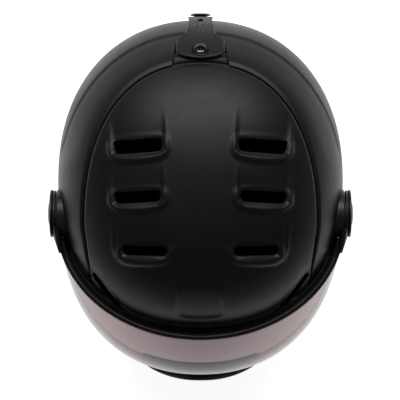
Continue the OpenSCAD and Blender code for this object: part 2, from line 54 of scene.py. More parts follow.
SHELL_HALF_W, SHELL_FRONT, SHELL_REAR, SHELL_RISE, SHELL_WALL = 117, 122, 131.6, 104, 2.6
MID_Y, MID_Z, SKIRT, PLAN_N, SIDE_N = 14, 118, 150, 2.2, 2.15
CROWN_HALF_W, CROWN_FRONT_HALF_W, CROWN_Y, CROWN_REAR, CROWN_N, SEAM_GAP = 93.2, 88, -24, 130, 2.3, 1.8
CROWN_NARROWS_OVER = 42
CREASE_HALF_W, CREASE_Y, CREASE_REAR = 117.5, -4, 136.6
HEAD_HALF_W, HEAD_HALF_L, HEAD_Y, HEAD_Z, HEAD_RISE, HEAD_SKIRT = 82, 102, 18, 108, 84, 220
LINER_INSET, RIM_LIFT = SHELL_WALL + 0.8, 2
PIVOT_Y, PIVOT_Z, HUB_R, TAB_FACE, TAB_WALL = -13, 130, 19.5, 118, 2
CAP_FACE = TAB_FACE + TAB_WALL + 0.4
DISC_FOOT = 106.2        # where the pivots' base discs stand, from the middle
LENS_WALL, LENS_TOP_A, LENS_LOW_A, LENS_TOP_B, LENS_MID_B, LENS_Y = 2.2, 117, 113.5, 94.4, 128.5, -20
LENS_CURL_AT, LENS_CURL = 0.78, 4.5
STRAP_TOP = (64, 4, 37)
ANCHOR_X, ANCHOR_Y, ANCHOR_Z = (59, 65.5), (-42, 52), 97
STUD_Z, HINGE_TILT, SCREW_TILT, SCREW_LEAN = 120, 31, 41.2, 41.8
TRAY_TOP_HALF_W, TRAY_LOW_HALF_W, TRAY_TOP_Y, TRAY_LOW_Y, TRAY_DEPTH = 22.8, 18.3, 103, 127, 5.2
# Crown vents on one side: x, y, width, depth, turn
VENTS = [(48.5, 40, 38.8, 11.4, -4), (49, 0.2, 37, 10, -3), (43.4, -42, 35.6, 8.4, 1.5)]
# Slot beside the visor on one side: x, y, width, depth, turn
FRONT_VENT = (75, -76.5, 39, 3.8, 54)

SIDES = {"left": -1, "right": 1}


# ---------- shape functions ----------

def power(value, exponent):
    return np.sign(value) * np.abs(value) ** exponent


def sind(angle):
    return np.sin(np.radians(angle))


def cosd(angle):
    return np.cos(np.radians(angle))


def smooth(low, high, value):
    """0 at low, 1 at high and an even S between them."""
    share = np.clip((value - low) / (high - low), 0, 1)
    return share * share * (3 - 2 * share)


def hump(value, centre, width):
    return np.exp(-(((value - centre) / width) ** 2))


def stack(x, y, z):
    return np.stack(np.broadcast_arrays(x, y, z), -1).astype(float)


def unit(vectors):
    vectors = np.asarray(vectors, float)
    return vectors / np.maximum(np.linalg.norm(vectors, axis=-1, keepdims=True), 1e-6)


def edge_z(angle):
    """Height of the shell's lower edge."""
    return 85 + np.where(sind(angle) < 0, 27, -35) * sind(angle) ** 2


def edge_tilt(angle, inset=0, lift=0):
    """Tilt of the shell's lower edge, or of a surface inset from it and cut off higher up."""
    height = edge_z(angle) + lift
    up = np.clip((height - MID_Z) / (SHELL_RISE - inset), 0, 1) ** (SIDE_N / 2)
    down = np.clip((MID_Z - height) / SKIRT, 0, 1) ** (SIDE_N / 2)
    return np.degrees(np.arcsin(up) - np.arcsin(down))


def shell_point(angle, tilt, inset=0):
    """Point of the shell's outer surface, moved inwards by inset."""
    reach = np.abs(cosd(tilt)) ** (2 / SIDE_N)
    length = np.where(sind(angle) < 0, SHELL_FRONT, SHELL_REAR) - inset
    lift = np.where(tilt < 0, SKIRT, SHELL_RISE - inset) * power(sind(tilt), 2 / SIDE_N)
    return stack(
        (SHELL_HALF_W - inset) * power(cosd(angle), 2 / PLAN_N) * reach,
        MID_Y + length * power(sind(angle), 2 / PLAN_N) * reach,
        MID_Z + lift,
    )


def dome_z(x, y):
    """Height of the shell's outer surface over a place in plan."""
    length = np.where(y < MID_Y, SHELL_FRONT, SHELL_REAR)
    reach = ((np.abs(x) / SHELL_HALF_W) ** PLAN_N + (np.abs(y - MID_Y) / length) ** PLAN_N) ** (1 / PLAN_N)
    return MID_Z + SHELL_RISE * np.clip(1 - reach ** SIDE_N, 0, 1) ** (1 / SIDE_N)


def shell_normal(angle, tilt):
    """Outward direction of the shell's outer surface."""
    step = 0.05
    top = np.minimum(tilt, 89.5)
    across = shell_point(angle + step, top) - shell_point(angle - step, top)
    upwards = shell_point(angle, top + step) - shell_point(angle, top - step)
    return unit(np.cross(across, upwards))


def head_point(angle, tilt, inset=0):
    """Point of the head cavity's surface, moved inwards by inset."""
    reach = cosd(tilt)
    return stack(
        (HEAD_HALF_W - inset) * cosd(angle) * reach,
        HEAD_Y + (HEAD_HALF_L - inset) * sind(angle) * reach,
        HEAD_Z + np.where(tilt < 0, HEAD_SKIRT, HEAD_RISE - inset) * sind(tilt),
    )


def head_tilt_at(height, inset=0):
    """Tilt at which the head cavity's surface is at a height."""
    up = np.clip((height - HEAD_Z) / (HEAD_RISE - inset), 0, 1)
    down = np.clip((HEAD_Z - height) / HEAD_SKIRT, 0, 1)
    return np.degrees(np.arcsin(up) - np.arcsin(down))


def crown_side(x, y, grow):
    """Negative inside the crown panel's outline in plan, positive outside it."""
    aside = np.abs(x) / (CROWN_HALF_W + grow)
    behind = np.maximum(y - CROWN_Y, 0) / (CROWN_REAR + grow)
    narrowing = np.clip((CROWN_Y - y) / CROWN_NARROWS_OVER, 0, 1)
    front_half_w = grow + CROWN_HALF_W - (CROWN_HALF_W - CROWN_FRONT_HALF_W) * narrowing
    return np.where(y > CROWN_Y, aside ** CROWN_N + behind ** CROWN_N - 1, np.abs(x) / front_half_w - 1)


def crown_tilt(angle, grow):
    """Tilt at which the crown panel's outline crosses each angle, or the shell's edge."""
    low = edge_tilt(angle)
    high = np.full_like(low, 89.0)
    edge = shell_point(angle, low)
    open_below = crown_side(edge[..., 0], edge[..., 1], grow) <= 0
    for _ in range(30):
        middle = (low + high) / 2
        point = shell_point(angle, middle)
        outside = crown_side(point[..., 0], point[..., 1], grow) > 0
        low = np.where(outside, middle, low)
        high = np.where(outside, high, middle)
    return np.where(open_below, edge_tilt(angle), high)


def lens_point(turn, share, inset=0):
    """Point of the lens: turn runs from the front (0) to the temples, share from top to bottom."""
    a = LENS_TOP_A + (LENS_LOW_A - LENS_TOP_A) * share - inset
    below = np.maximum(0, (share - LENS_CURL_AT) / (1 - LENS_CURL_AT))
    b = LENS_TOP_B + (LENS_MID_B - LENS_TOP_B) * sind(90 * np.minimum(share / LENS_CURL_AT, 1))
    b = b - LENS_CURL * below ** 2 - inset
    n = 2.0 + 0.35 * share
    # heights of the lens's two edges: the low one rises to the temples and over the nose
    top = 132 + 18 * cosd(turn)
    low = 34 + 62 * np.abs(sind(turn)) ** 5 + 13 * hump(LENS_LOW_A * sind(turn), 0, 24)
    return stack(
        a * power(sind(turn), 2 / n),
        LENS_Y - b * power(cosd(turn), 2 / n),
        top + (low - top) * share,
    )


# ---------- relief of the shells ----------

def slot_frame(x, y, vent):
    """Place beside a vent: along its width, along its depth (rearwards) and its half sizes."""
    at_x, at_y, width, depth, turn = vent
    dx, dy = np.abs(x) - at_x, y - at_y
    along = dx * cosd(turn) + dy * sind(turn)
    back = dy * cosd(turn) - dx * sind(turn)
    return along, back, width / 2, depth / 2


def slot_distance(along, back, half_w, half_d, radius=3):
    """Distance outside a slot with rounded ends."""
    out_x = np.maximum(np.abs(along) - half_w + radius, 0)
    out_y = np.maximum(np.abs(back) - half_d + radius, 0)
    return np.hypot(out_x, out_y) - radius


def pod_relief(x, y, vent):
    """Height of one scoop: a floor that sinks to the slot, and a lip that swells before its front."""
    along, back, half_w, half_d = slot_frame(x, y, vent)
    away = slot_distance(along, back, half_w, half_d, 4)
    within = 1 - smooth(half_w - 1.5, half_w + 3.4, np.abs(along))
    behind = np.maximum(back - half_d, 0)
    floor = -1.4 * np.exp(-((behind / 12) ** 1.4)) * within * smooth(-half_d - 0.5, -half_d + 2, back)
    crest = 2.2 + 2.0 * np.clip(1 - (along / half_w) ** 2, 0, 1)
    front = 1 - smooth(-half_d * 0.2, half_d * 2.2, back)
    up = smooth(-1.0, crest, away)
    down = 1 - smooth(crest - 0.2, crest + 5.5, away)
    lip = (2.0 * up * down - 0.4 * (1 - up)) * front
    rib_fade = smooth(-half_d, half_d + 3, back) * (1 - smooth(half_d + 8, half_d + 26, back))
    rib = 0.4 * hump(np.abs(along), half_w + 3.2, 1.5) * rib_fade
    return floor + lip + rib


def outer_fold(x, y):
    """Second, softer fold round the foremost scoop."""
    along, back, half_w, half_d = slot_frame(x, y, VENTS[-1])
    wide = half_w + 7 + 0.1 * back
    away = slot_distance(along, back - 14, wide, half_d + 20.5, 12)
    fade = (1 - smooth(0, 28, back)) * (0.35 + 0.65 * smooth(-6, 12, along))
    return 0.7 * hump(away, 0, 1.7) * fade


def scoop_relief(x, y):
    """U-shaped ridge over the brow, with a shallow floor inside it."""
    half_w = 17.5 + 2.5 * smooth(-75, -97, y)
    sides = hump(np.abs(x), half_w, 1.4) * smooth(-68, -76, y) * (1 - smooth(-93, -97.5, y))
    bottom_y = -97.6 + 2.2 * (x / 18) ** 2
    bottom = hump(y, bottom_y, 1.5) * (1 - smooth(15, 19, np.abs(x)))
    inside = (1 - smooth(half_w - 4, half_w, np.abs(x))) * smooth(-72, -92, y) * smooth(-98.5, -94, y)
    return 0.9 * np.maximum(sides, bottom) - 0.9 * inside


def front_vent_relief(x, y):
    along, back, half_w, half_d = slot_frame(x, y, FRONT_VENT)
    away = slot_distance(along, back, half_w, half_d, 1.5)
    outer = 1 - smooth(-1, 1, back)
    return 0.9 * hump(away, 1.8, 1.2) * outer - 0.8 * hump(away, 0.8, 1.6) * (1 - outer)


def crown_relief(x, y):
    total = scoop_relief(x, y) + front_vent_relief(x, y) + outer_fold(x, y)
    for vent in VENTS:
        total = total + pod_relief(x, y, vent)
    return total


def crease_relief(x, y):
    """The lower shell's skin, a little below the crown's, with a ledge: the wall above it lies deeper."""
    aside, behind = np.abs(x) / CREASE_HALF_W, np.maximum(y - CREASE_Y, 0) / CREASE_REAR
    crease = aside ** SIDE_N + behind ** SIDE_N - 1
    near_front = smooth(24, 44, y)
    return -0.8 * smooth(0.008, -0.008, crease) * near_front * smooth(-0.3, -0.1, crease) - 0.5


# ---------- mesh helpers ----------

def in_scene(name, data):
    obj = bpy.data.objects.new(name, data)
    bpy.context.scene.collection.objects.link(obj)
    return obj


def make_mesh(name, points, faces, sharp=34):
    """Mesh object from points in millimetres, smooth but for its sharp edges."""
    mesh = bpy.data.meshes.new(name)
    mesh.from_pydata((np.asarray(points, float) * MM).tolist(), [], [list(f) for f in faces])
    obj = in_scene(name, mesh)
    tidy(obj, sharp)
    return obj


def tidy(obj, sharp=34):
    """Welds doubles, turns the faces outwards and marks the sharp edges."""
    work = bmesh.new()
    work.from_mesh(obj.data)
    bmesh.ops.remove_doubles(work, verts=work.verts, dist=1e-7)
    bmesh.ops.dissolve_degenerate(work, edges=work.edges, dist=1e-8)
    bmesh.ops.recalc_face_normals(work, faces=work.faces)
    work.to_mesh(obj.data)
    work.free()
    shade(obj, sharp)


def shade(obj, sharp=34):
    obj.data.polygons.foreach_set("use_smooth", [True] * len(obj.data.polygons))
    obj.data.set_sharp_from_angle(angle=math.radians(sharp))
    obj.data.update()


def loft(name, sections, around=False, sharp=34):
    """Closed solid through sections, each a closed ring of points."""
    sections = np.asarray(sections, float)
    count, ring = sections.shape[:2]
    spans = count if around else count - 1
    a = np.arange(spans)[:, None] * ring
    b = (np.arange(1, spans + 1)[:, None] % count) * ring
    i = np.arange(ring)[None, :]
    j = (i + 1) % ring
    quads = np.stack([a + i, a + j, b + j, b + i], -1).reshape(-1, 4).tolist()
    if not around:
        quads.append(list(range(ring)))
        quads.append([(count - 1) * ring + k for k in range(ring - 1, -1, -1)])
    return make_mesh(name, sections.reshape(-1, 3), quads, sharp)


def between_grids(name, front, back, sharp=34):
    """Closed solid between two equal grids of points, and the numbers of the points on its front's rim."""
    rows, columns = front.shape[:2]
    count = rows * columns
    faces = []
    for r in range(rows - 1):
        for c in range(columns - 1):
            k = r * columns + c
            quad = [k, k + 1, k + columns + 1, k + columns]
            faces.append(quad)
            faces.append([count + q for q in reversed(quad)])
    rim = (list(range(columns)) + [(r + 1) * columns - 1 for r in range(1, rows)]
           + [(rows - 1) * columns + c for c in range(columns - 2, -1, -1)]
           + [r * columns for r in range(rows - 2, 0, -1)])
    for k, first in enumerate(rim):
        second = rim[(k + 1) % len(rim)]
        faces.append([first, count + first, count + second, second])
    return make_mesh(name, np.concatenate([front.reshape(-1, 3), back.reshape(-1, 3)]), faces, sharp), rim


def direction_frame(axis):
    """Two directions square to an axis."""
    axis = unit(axis)
    helper = np.array([0, 0, 1.0]) if abs(axis[2]) < 0.9 else np.array([0, 1.0, 0])
    u = unit(np.cross(helper, axis))
    return axis, u, np.cross(axis, u)


def lathe(name, profile, origin, axis, segments=96, sharp=34):
    """Turned solid. The profile is (distance along the axis, radius) and closes on itself or the axis."""
    axis, u, v = direction_frame(axis)
    profile = np.asarray(profile, float)
    angles = np.linspace(0, 360, segments, endpoint=False)[:, None]
    radius, along = profile[None, :, 1], profile[None, :, 0]
    points = (np.asarray(origin, float) + along[..., None] * axis
              + (radius * cosd(angles))[..., None] * u + (radius * sind(angles))[..., None] * v)
    return loft(name, points, around=True, sharp=sharp)


def rod(radius, start, end, segments=64):
    start, end = np.asarray(start, float), np.asarray(end, float)
    length = np.linalg.norm(end - start)
    profile = [(0, 0), (0, radius), (length, radius), (length, 0)]
    return lathe("cutter", profile, start, end - start, segments)


def pivot_rod(radius, side, near, far, segments=64):
    """Rod on the visor's axis, between two distances from the middle of the helmet."""
    return rod(radius, (side * near, PIVOT_Y, PIVOT_Z), (side * far, PIVOT_Y, PIVOT_Z), segments)


def stud_rod(radius, near, far, segments=64):
    """Rod on the press stud's axis, between two places along Y."""
    return rod(radius, (0, near, STUD_Z), (0, far, STUD_Z), segments)


def prism(outline, low, high):
    """Upright solid over an outline in plan."""
    x, y = np.transpose(outline)
    return loft("cutter", [stack(x, y, low), stack(x, y, high)])


def block(low, high):
    (x0, y0, z0), (x1, y1, z1) = low, high
    return prism([(x0, y0), (x1, y0), (x1, y1), (x0, y1)], z0, z1)


def rounded_box(width, depth, *radii):
    """Outline of a box about (0, 0). One radius for all corners, or one each from the first quadrant on."""
    radii = radii * 4 if len(radii) == 1 else radii
    points = []
    for k, (sx, sy) in enumerate([(1, 1), (-1, 1), (-1, -1), (1, -1)]):
        for angle in np.linspace(90 * k, 90 * k + 90, 8):
            points.append((sx * (width / 2 - radii[k]) + radii[k] * cosd(angle),
                           sy * (depth / 2 - radii[k]) + radii[k] * sind(angle)))
    return np.array(points)


def placed(outline, x, y, turn, side):
    """Outline turned and moved in plan, mirrored for the left side."""
    px = x + outline[:, 0] * cosd(turn) - outline[:, 1] * sind(turn)
    py = y + outline[:, 0] * sind(turn) + outline[:, 1] * cosd(turn)
    return np.stack([side * px, py], -1)


def combine(obj, other, operation, sharp=34):
    """Cuts, joins or keeps the overlap with another closed solid, which is then removed."""
    modifier = obj.modifiers.new("combine", "BOOLEAN")
    modifier.object = other
    modifier.operation = operation
    modifier.solver = "MANIFOLD"
    graph = bpy.context.evaluated_depsgraph_get()
    mesh = bpy.data.meshes.new_from_object(obj.evaluated_get(graph))
    obj.modifiers.clear()
    obj.data = mesh
    bpy.data.objects.remove(other)
    shade(obj, sharp)
    return obj


def cut(obj, *cutters):
    for cutter in cutters:
        combine(obj, cutter, "DIFFERENCE")
    return obj


def unite(obj, *others):
    """Several meshes in one object, each left as its own closed shell."""
    work = bmesh.new()
    for part in (obj, *others):
        work.from_mesh(part.data)
    work.to_mesh(obj.data)
    work.free()
    for part in others:
        bpy.data.objects.remove(part)
    shade(obj)
    return obj


def tube(name, path, radius, closed=False, sides=10):
    """Round bead along a path."""
    path = np.asarray(path, float)
    ahead, behind = np.roll(path, -1, 0), np.roll(path, 1, 0)
    if not closed:
        ahead[-1], behind[0] = path[-1], path[0]
    run = unit(ahead - behind)
    away = path - path.mean(0)
    u = unit(away - (away * run).sum(1, keepdims=True) * run)
    v = np.cross(run, u)
    angles = np.linspace(0, 360, sides, endpoint=False)[None, :, None]
    rings = path[:, None, :] + radius * (cosd(angles) * u[:, None, :] + sind(angles) * v[:, None, :])
    return loft(name, rings, around=closed)


def give(obj, body, material, slot, *nodes):
    """Finish, body and the nodes that a piece stands for. A piece that blends has no body."""
    obj.data.materials.clear()
    obj.data.materials.append(material)
    if body is not None:
        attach(obj, body)
    if nodes:
        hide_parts(*nodes)
    return obj


def dress(node, material):
    """Finish of a carried-over node."""
    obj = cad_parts[node]
    obj.data.materials.clear()
    obj.data.materials.append(material)


# ---------- materials ----------

class Finish:
    """A Principled material and the nodes that give it detail. Scales are per metre."""

    def __init__(self, name, colour, roughness, metallic=0.0):
        self.material = bpy.data.materials.new(name)
        self.material.use_nodes = True
        self.tree = self.material.node_tree
        self.shader = self.tree.nodes["Principled BSDF"]
        self.shader.inputs["Base Color"].default_value = (*colour, 1)
        self.shader.inputs["Roughness"].default_value = roughness
        self.shader.inputs["Metallic"].default_value = metallic
        self.colour = colour
        self.place = self.tree.nodes.new("ShaderNodeTexCoord").outputs["Object"]
        self.normal = None

    def set(self, **values):
        for key, value in values.items():
            self.shader.inputs[key.replace("_", " ")].default_value = value
        return self

    def node(self, kind, **values):
        node = self.tree.nodes.new(kind)
        for key, value in values.items():
            setattr(node, key, value)
        return node

    def link(self, source, target):
        self.tree.links.new(source, target)

    def texture(self, kind, scale, **values):
        node = self.node(kind, **values)
        node.inputs["Scale"].default_value = scale
        self.link(self.place, node.inputs["Vector"])
        return node

    def noise(self, scale, detail=3.0, distortion=0.0):
        node = self.texture("ShaderNodeTexNoise", scale)
        node.inputs["Detail"].default_value = detail
        node.inputs["Distortion"].default_value = distortion
        return node.outputs["Fac"]

    def cells(self, scale):
        return self.texture("ShaderNodeTexVoronoi", scale).outputs["Distance"]

    def waves(self, scale, axis):
        return self.texture("ShaderNodeTexWave", scale, bands_direction=axis).outputs["Fac"]

    def math(self, operation, first, second):
        node = self.node("ShaderNodeMath", operation=operation)
        for socket, value in zip(node.inputs, (first, second)):
            if isinstance(value, (int, float)):
                socket.default_value = value
            else:
                self.link(value, socket)
        return node.outputs[0]

    def spread(self, source, low, high, to_low, to_high):
        """Source between low and high, as a value between to_low and to_high."""
        node = self.node("ShaderNodeMapRange")
        self.link(source, node.inputs["Value"])
        for name, value in (("From Min", low), ("From Max", high), ("To Min", to_low), ("To Max", to_high)):
            node.inputs[name].default_value = value
        return node.outputs["Result"]

    def blend(self, source, first, second):
        """Base colour between two colours, given back for other uses."""
        node = self.node("ShaderNodeMix", data_type="RGBA")
        self.link(source, node.inputs["Factor"])
        node.inputs["A"].default_value = (*first, 1)
        node.inputs["B"].default_value = (*second, 1)
        self.link(node.outputs["Result"], self.shader.inputs["Base Color"])
        return node.outputs["Result"]

    def drift(self, scale, detail, low, high):
        """Slow change of the colour between two shares of it."""
        source = self.spread(self.noise(scale, detail), 0.35, 0.65, 0, 1)
        self.blend(source, scaled(self.colour, low), scaled(self.colour, high))

    def mixed(self, share, first, second):
        """Shader between two others."""
        node = self.node("ShaderNodeMixShader")
        for socket, source in zip(node.inputs, (share, first, second)):
            self.link(source, socket)
        return node.outputs["Shader"]

    def rough(self, source, low, high):
        """Roughness between two values."""
        self.link(self.spread(source, 0.3, 0.7, low, high), self.shader.inputs["Roughness"])
        return self

    def bump(self, source, height, strength=1.0):
        """Relief of a height in millimetres, added to what is there."""
        node = self.node("ShaderNodeBump")
        node.inputs["Strength"].default_value = strength
        node.inputs["Distance"].default_value = height * MM
        self.link(source, node.inputs["Height"])
        if self.normal is not None:
            self.link(self.normal, node.inputs["Normal"])
        self.normal = node.outputs["Normal"]
        self.link(self.normal, self.shader.inputs["Normal"])
        return self


def scaled(colour, factor):
    return tuple(min(1.0, c * factor) for c in colour)


def moulded(name, colour, roughness, grain=0.03, grain_scale=2600):
    """Moulded plastic: fine grain, slow colour drift and patches that shine a little more."""
    f = Finish(name, colour, roughness)
    f.drift(60, 4, 0.85, 1.2)
    f.rough(f.noise(90, 5), roughness - 0.06, roughness + 0.08)
    f.bump(f.noise(grain_scale, 2), grain)
    return f


def soft_touch(name, colour):
    """Matte lacquer of the shell: dust-fine grain, rubbed edges and the odd handling scuff."""
    f = Finish(name, colour, 0.46)
    f.drift(28, 4, 0.85, 1.2)
    scuffs = f.math("MULTIPLY", f.noise(140, 8, 1.5), 0.4)
    rubbed = f.math("MULTIPLY", f.noise(22, 3), 0.6)
    f.rough(f.math("ADD", scuffs, rubbed), 0.4, 0.52)
    f.bump(f.noise(5200, 2), 0.02, 0.8)
    return f.set(Specular_IOR_Level=0.35)


def elastomer(name, colour, roughness=0.62):
    f = moulded(name, colour, roughness, 0.05, 1900)
    return f.set(Sheen_Weight=0.15, Sheen_Roughness=0.5)


def turned_metal(name, colour, roughness):
    """Turned and plated metal with fine tool lines."""
    f = Finish(name, colour, roughness, 1.0)
    f.rough(f.noise(700, 4), roughness - 0.05, roughness + 0.1)
    f.drift(240, 3, 0.8, 1.1)
    f.bump(f.noise(3800, 2), 0.01)
    return f


def bead_foam(name, colour):
    """Expanded foam: beads a few millimetres across, pressed together."""
    f = Finish(name, colour, 0.7)
    beads = f.cells(330)
    f.bump(beads, -0.35, 0.7)
    f.bump(f.noise(2500, 2), 0.04)
    # Painted shade and highlight: the colour is lighter at the middle of each bead and darker towards its
    # edge, where the bump sinks the gaps between beads.
    f.blend(f.spread(beads, 0.1, 0.7, 0, 1), scaled(colour, 1.25), scaled(colour, 0.6))
    return f


def knit(name, colour, pitch=0.9):
    """Brushed knit over foam: rows of loops with a soft pile."""
    f = Finish(name, colour, 0.9)
    per_metre = 1000 / pitch / math.pi
    rows = f.math("MULTIPLY", f.waves(per_metre, "Z"), f.waves(per_metre, "DIAGONAL"))
    f.bump(rows, 0.18)
    f.bump(f.noise(3000, 3), 0.12)
    # Painted shade and highlight: half of the colour follows the rows of loops, darker in their furrows and
    # lighter on their tops; the other half is random mottling.
    loop_shade_and_mottle = f.math("ADD", f.math("MULTIPLY", rows, 0.5), f.math("MULTIPLY", f.noise(180, 5), 0.5))
    f.blend(f.spread(loop_shade_and_mottle, 0.2, 0.7, 0, 1), scaled(colour, 0.6), scaled(colour, 1.5))
    return f.set(Sheen_Weight=0.35, Sheen_Roughness=0.45)


def woven(name, colour):
    """Webbing: a tight herringbone with a ribbed face."""
    f = Finish(name, colour, 0.8)
    plain = f.math("MULTIPLY", f.waves(420, "X"), f.waves(300, "Y"))
    weave = f.math("ADD", plain, f.math("MULTIPLY", f.waves(360, "DIAGONAL"), 0.5))
    f.bump(weave, 0.16)
    f.bump(f.noise(2600, 2), 0.05)
    # Painted shade and highlight: the colour follows the weave, darker where the bump sinks it and lighter
    # on the raised threads.
    f.blend(f.spread(weave, 0.2, 1.1, 0, 1), scaled(colour, 0.6), scaled(colour, 1.6))
    return f.set(Sheen_Weight=0.2, Sheen_Roughness=0.5)


def tinted_lens(name, middle, sides):
    """Glossy tinted polycarbonate that lets lamps through, with inked ears. It is lighter towards its sides:
    the darker middle colour is the lens's own, the lighter side colour adds a painted reflection of the
    room.
    """
    f = Finish(name, middle, 0.03)
    f.set(Transmission_Weight=1.0, Specular_IOR_Level=0.3, IOR=1.22)
    f.rough(f.noise(40, 3), 0.015, 0.05)
    axes = f.node("ShaderNodeSeparateXYZ")
    f.link(f.place, axes.inputs["Vector"])
    aside = f.math("ABSOLUTE", axes.outputs["X"], 0)
    # Painted reflection: the colour grows lighter from the middle to the sides, standing for the room
    # mirrored in the lens's flanks.
    tint_and_side_reflection = f.blend(f.spread(aside, 0.02, 0.08, 0, 1), middle, sides)
    clear = f.node("ShaderNodeBsdfTransparent")
    f.link(tint_and_side_reflection, clear.inputs["Color"])
    in_shadow = f.node("ShaderNodeLightPath").outputs["Is Shadow Ray"]
    sheet = f.mixed(in_shadow, f.shader.outputs["BSDF"], clear.outputs["BSDF"])
    ink = f.node("ShaderNodeBsdfPrincipled")
    ink.inputs["Base Color"].default_value = (0.005, 0.005, 0.005, 1)
    ink.inputs["Roughness"].default_value = 0.5
    at_ear = f.spread(axes.outputs["Y"], -0.050, -0.046, 0, 1)
    f.link(f.mixed(at_ear, sheet, ink.outputs["BSDF"]), f.tree.nodes["Material Output"].inputs["Surface"])
    return f


SHELL = soft_touch("soft_touch_black", (0.0060, 0.0060, 0.0072)).material
LOWER = soft_touch("soft_touch_black_lower", (0.0072, 0.0072, 0.0084)).material
TRIM = elastomer("trim_rubber", (0.012, 0.012, 0.013)).material
FOAM = bead_foam("bead_foam", (0.02, 0.02, 0.022)).material
# Near-black with almost no shine: painted shade for the dark depth of the vents, on a real foam insert.
FILTER_SHADE = bead_foam("filter_foam_shade", (0.002, 0.002, 0.002)).set(Specular_IOR_Level=0.05).material
RUBBER = elastomer("strap_rubber", (0.006, 0.006, 0.006), 0.55).set(Specular_IOR_Level=0.3).material
SEAL = elastomer("seal_rubber", (0.004, 0.004, 0.004), 0.75).set(Specular_IOR_Level=0.15).material
NOSE = elastomer("nose_rubber", (0.014, 0.012, 0.013), 0.6).material
PLASTIC = moulded("black_nylon", (0.010, 0.010, 0.011), 0.4).material
FRAME = moulded("frame_nylon", (0.003, 0.003, 0.003), 0.55).set(Specular_IOR_Level=0.12).material
# Lighter than the frame's own black: a painted highlight line along the frame's top.
BEAD_HIGHLIGHT = moulded("frame_bead_highlight", (0.05, 0.046, 0.042), 0.4).material
BLACK_CHROME = turned_metal("black_chrome", (0.09, 0.09, 0.10), 0.16).material
BLACKED = turned_metal("blacked_steel", (0.025, 0.025, 0.027), 0.3).material
PLATED = turned_metal("plated_steel", (0.62, 0.62, 0.62), 0.28).material
NICKEL = turned_metal("nickel", (0.72, 0.72, 0.74), 0.2).material
BRASS = turned_metal("brass", (0.72, 0.52, 0.22), 0.3).material
NYLON = moulded("natural_nylon", (0.62, 0.61, 0.57), 0.5).material
KNIT = knit("brushed_knit", (0.012, 0.012, 0.014)).material
PIPING = knit("piping", (0.022, 0.022, 0.025), 0.6).material
WEBBING = woven("webbing", (0.010, 0.010, 0.012)).material
# The second colour, for the lens's sides, is lighter by a painted reflection.
LENS = tinted_lens("tinted_lens", (0.205, 0.158, 0.168), (0.255, 0.19, 0.192)).material


# ---------- shells ----------

def vent_solids(grow=0.0, crown=(60, 240), front=(60, 240)):
    """Upright solid through each slot on both sides, between two heights."""
    solids = []
    for side in SIDES.values():
        for x, y, width, depth, turn in VENTS:
            outline = rounded_box(width + 2 * grow, depth + 2 * grow, 1.6, 4.6, 4.6, 4.4)
            solids.append(prism(placed(outline, x, y, turn, side), *crown))
        x, y, width, depth, turn = FRONT_VENT
        outline = rounded_box(width + 2 * grow, depth + 2 * grow, 1.5 + grow)
        solids.append(prism(placed(outline, x, y, turn, side), *front))
    return solids


KNEE_SHARE = 0.85        # of a section's rows, above its knee
MM_PER_DEGREE = 1.9      # length of the wall for each degree of tilt


def wall_sections(angles, top, low, rows, inner_rows, relief, edge_drop, knee=None):
    """Closed section of the shell's wall at each angle, from its top edge to its low edge.
    A knee keeps the rows above it even where the low edge drops suddenly."""
    shares = np.linspace(0, 1, rows)
    shares = np.concatenate([shares[:-1], [0.993, 0.998, 1.0]])
    if knee is None:
        tilt = top[:, None] + (low - top)[:, None] * shares
    else:
        above = top[:, None] + (knee - top)[:, None] * shares / KNEE_SHARE
        below = low[:, None] + (knee - low)[:, None] * (1 - shares) / (1 - KNEE_SHARE)
        tilt = np.where(shares < KNEE_SHARE, above, below)
    angle = np.broadcast_to(angles[:, None], tilt.shape)
    surface = shell_point(angle, tilt)
    normal = shell_normal(angle, tilt)
    raised = relief(surface[..., 0], surface[..., 1])
    from_low = (tilt - low[:, None]) * MM_PER_DEGREE
    raised = raised - edge_drop * np.maximum(0, 1 - from_low / 3) ** 2
    if np.any(top < 89):
        from_top = (top[:, None] - tilt) * MM_PER_DEGREE
        raised = raised - 1.2 * np.maximum(0, 1 - from_top / 3) ** 2
    outer = surface + normal * raised[..., None]
    picks = np.unique(np.linspace(0, tilt.shape[1] - 1, inner_rows).round().astype(int))[::-1]
    inner = outer[:, picks] - normal[:, picks] * SHELL_WALL
    middle_low = (outer[:, -1] + inner[:, 0]) / 2
    down = unit(outer[:, -1] - outer[:, -4])
    round_edge = middle_low[:, None] + (down * 0.8)[:, None]
    parts = [outer, round_edge, inner]
    if np.any(top < 89):
        middle_top = (outer[:, 0] + inner[:, -1]) / 2
        up = unit(outer[:, 0] - outer[:, 3])
        parts.append(middle_top[:, None] + (up * 0.5)[:, None])
    return np.concatenate(parts, 1)


def upper_shell():
    """Crown panel up to the seam, with its slots cut through."""
    coarse = np.arange(0, 360, 0.7)
    corner = np.arange(-58, -44, 0.2)
    angles = np.unique(np.concatenate([coarse, corner % 360, (180 - corner) % 360]).round(3))
    low = crown_tilt(angles, 0)
    top = np.full_like(low, 89.95)
    sections = wall_sections(angles, top, low, 116, 50, crown_relief, 1.5, np.maximum(low, 7) + 9)
    shell = loft("crown_shell", sections, around=True)
    cut(shell, *vent_solids())
    return give(shell, "helmet", SHELL, "shell", "upper_shell")


def retainer_outline(grow):
    top, low, low_y = TRAY_TOP_HALF_W + grow, TRAY_LOW_HALF_W + grow, TRAY_LOW_Y + grow
    return np.array([(top, TRAY_TOP_Y), (low, low_y), (-low, low_y), (-top, TRAY_TOP_Y)])


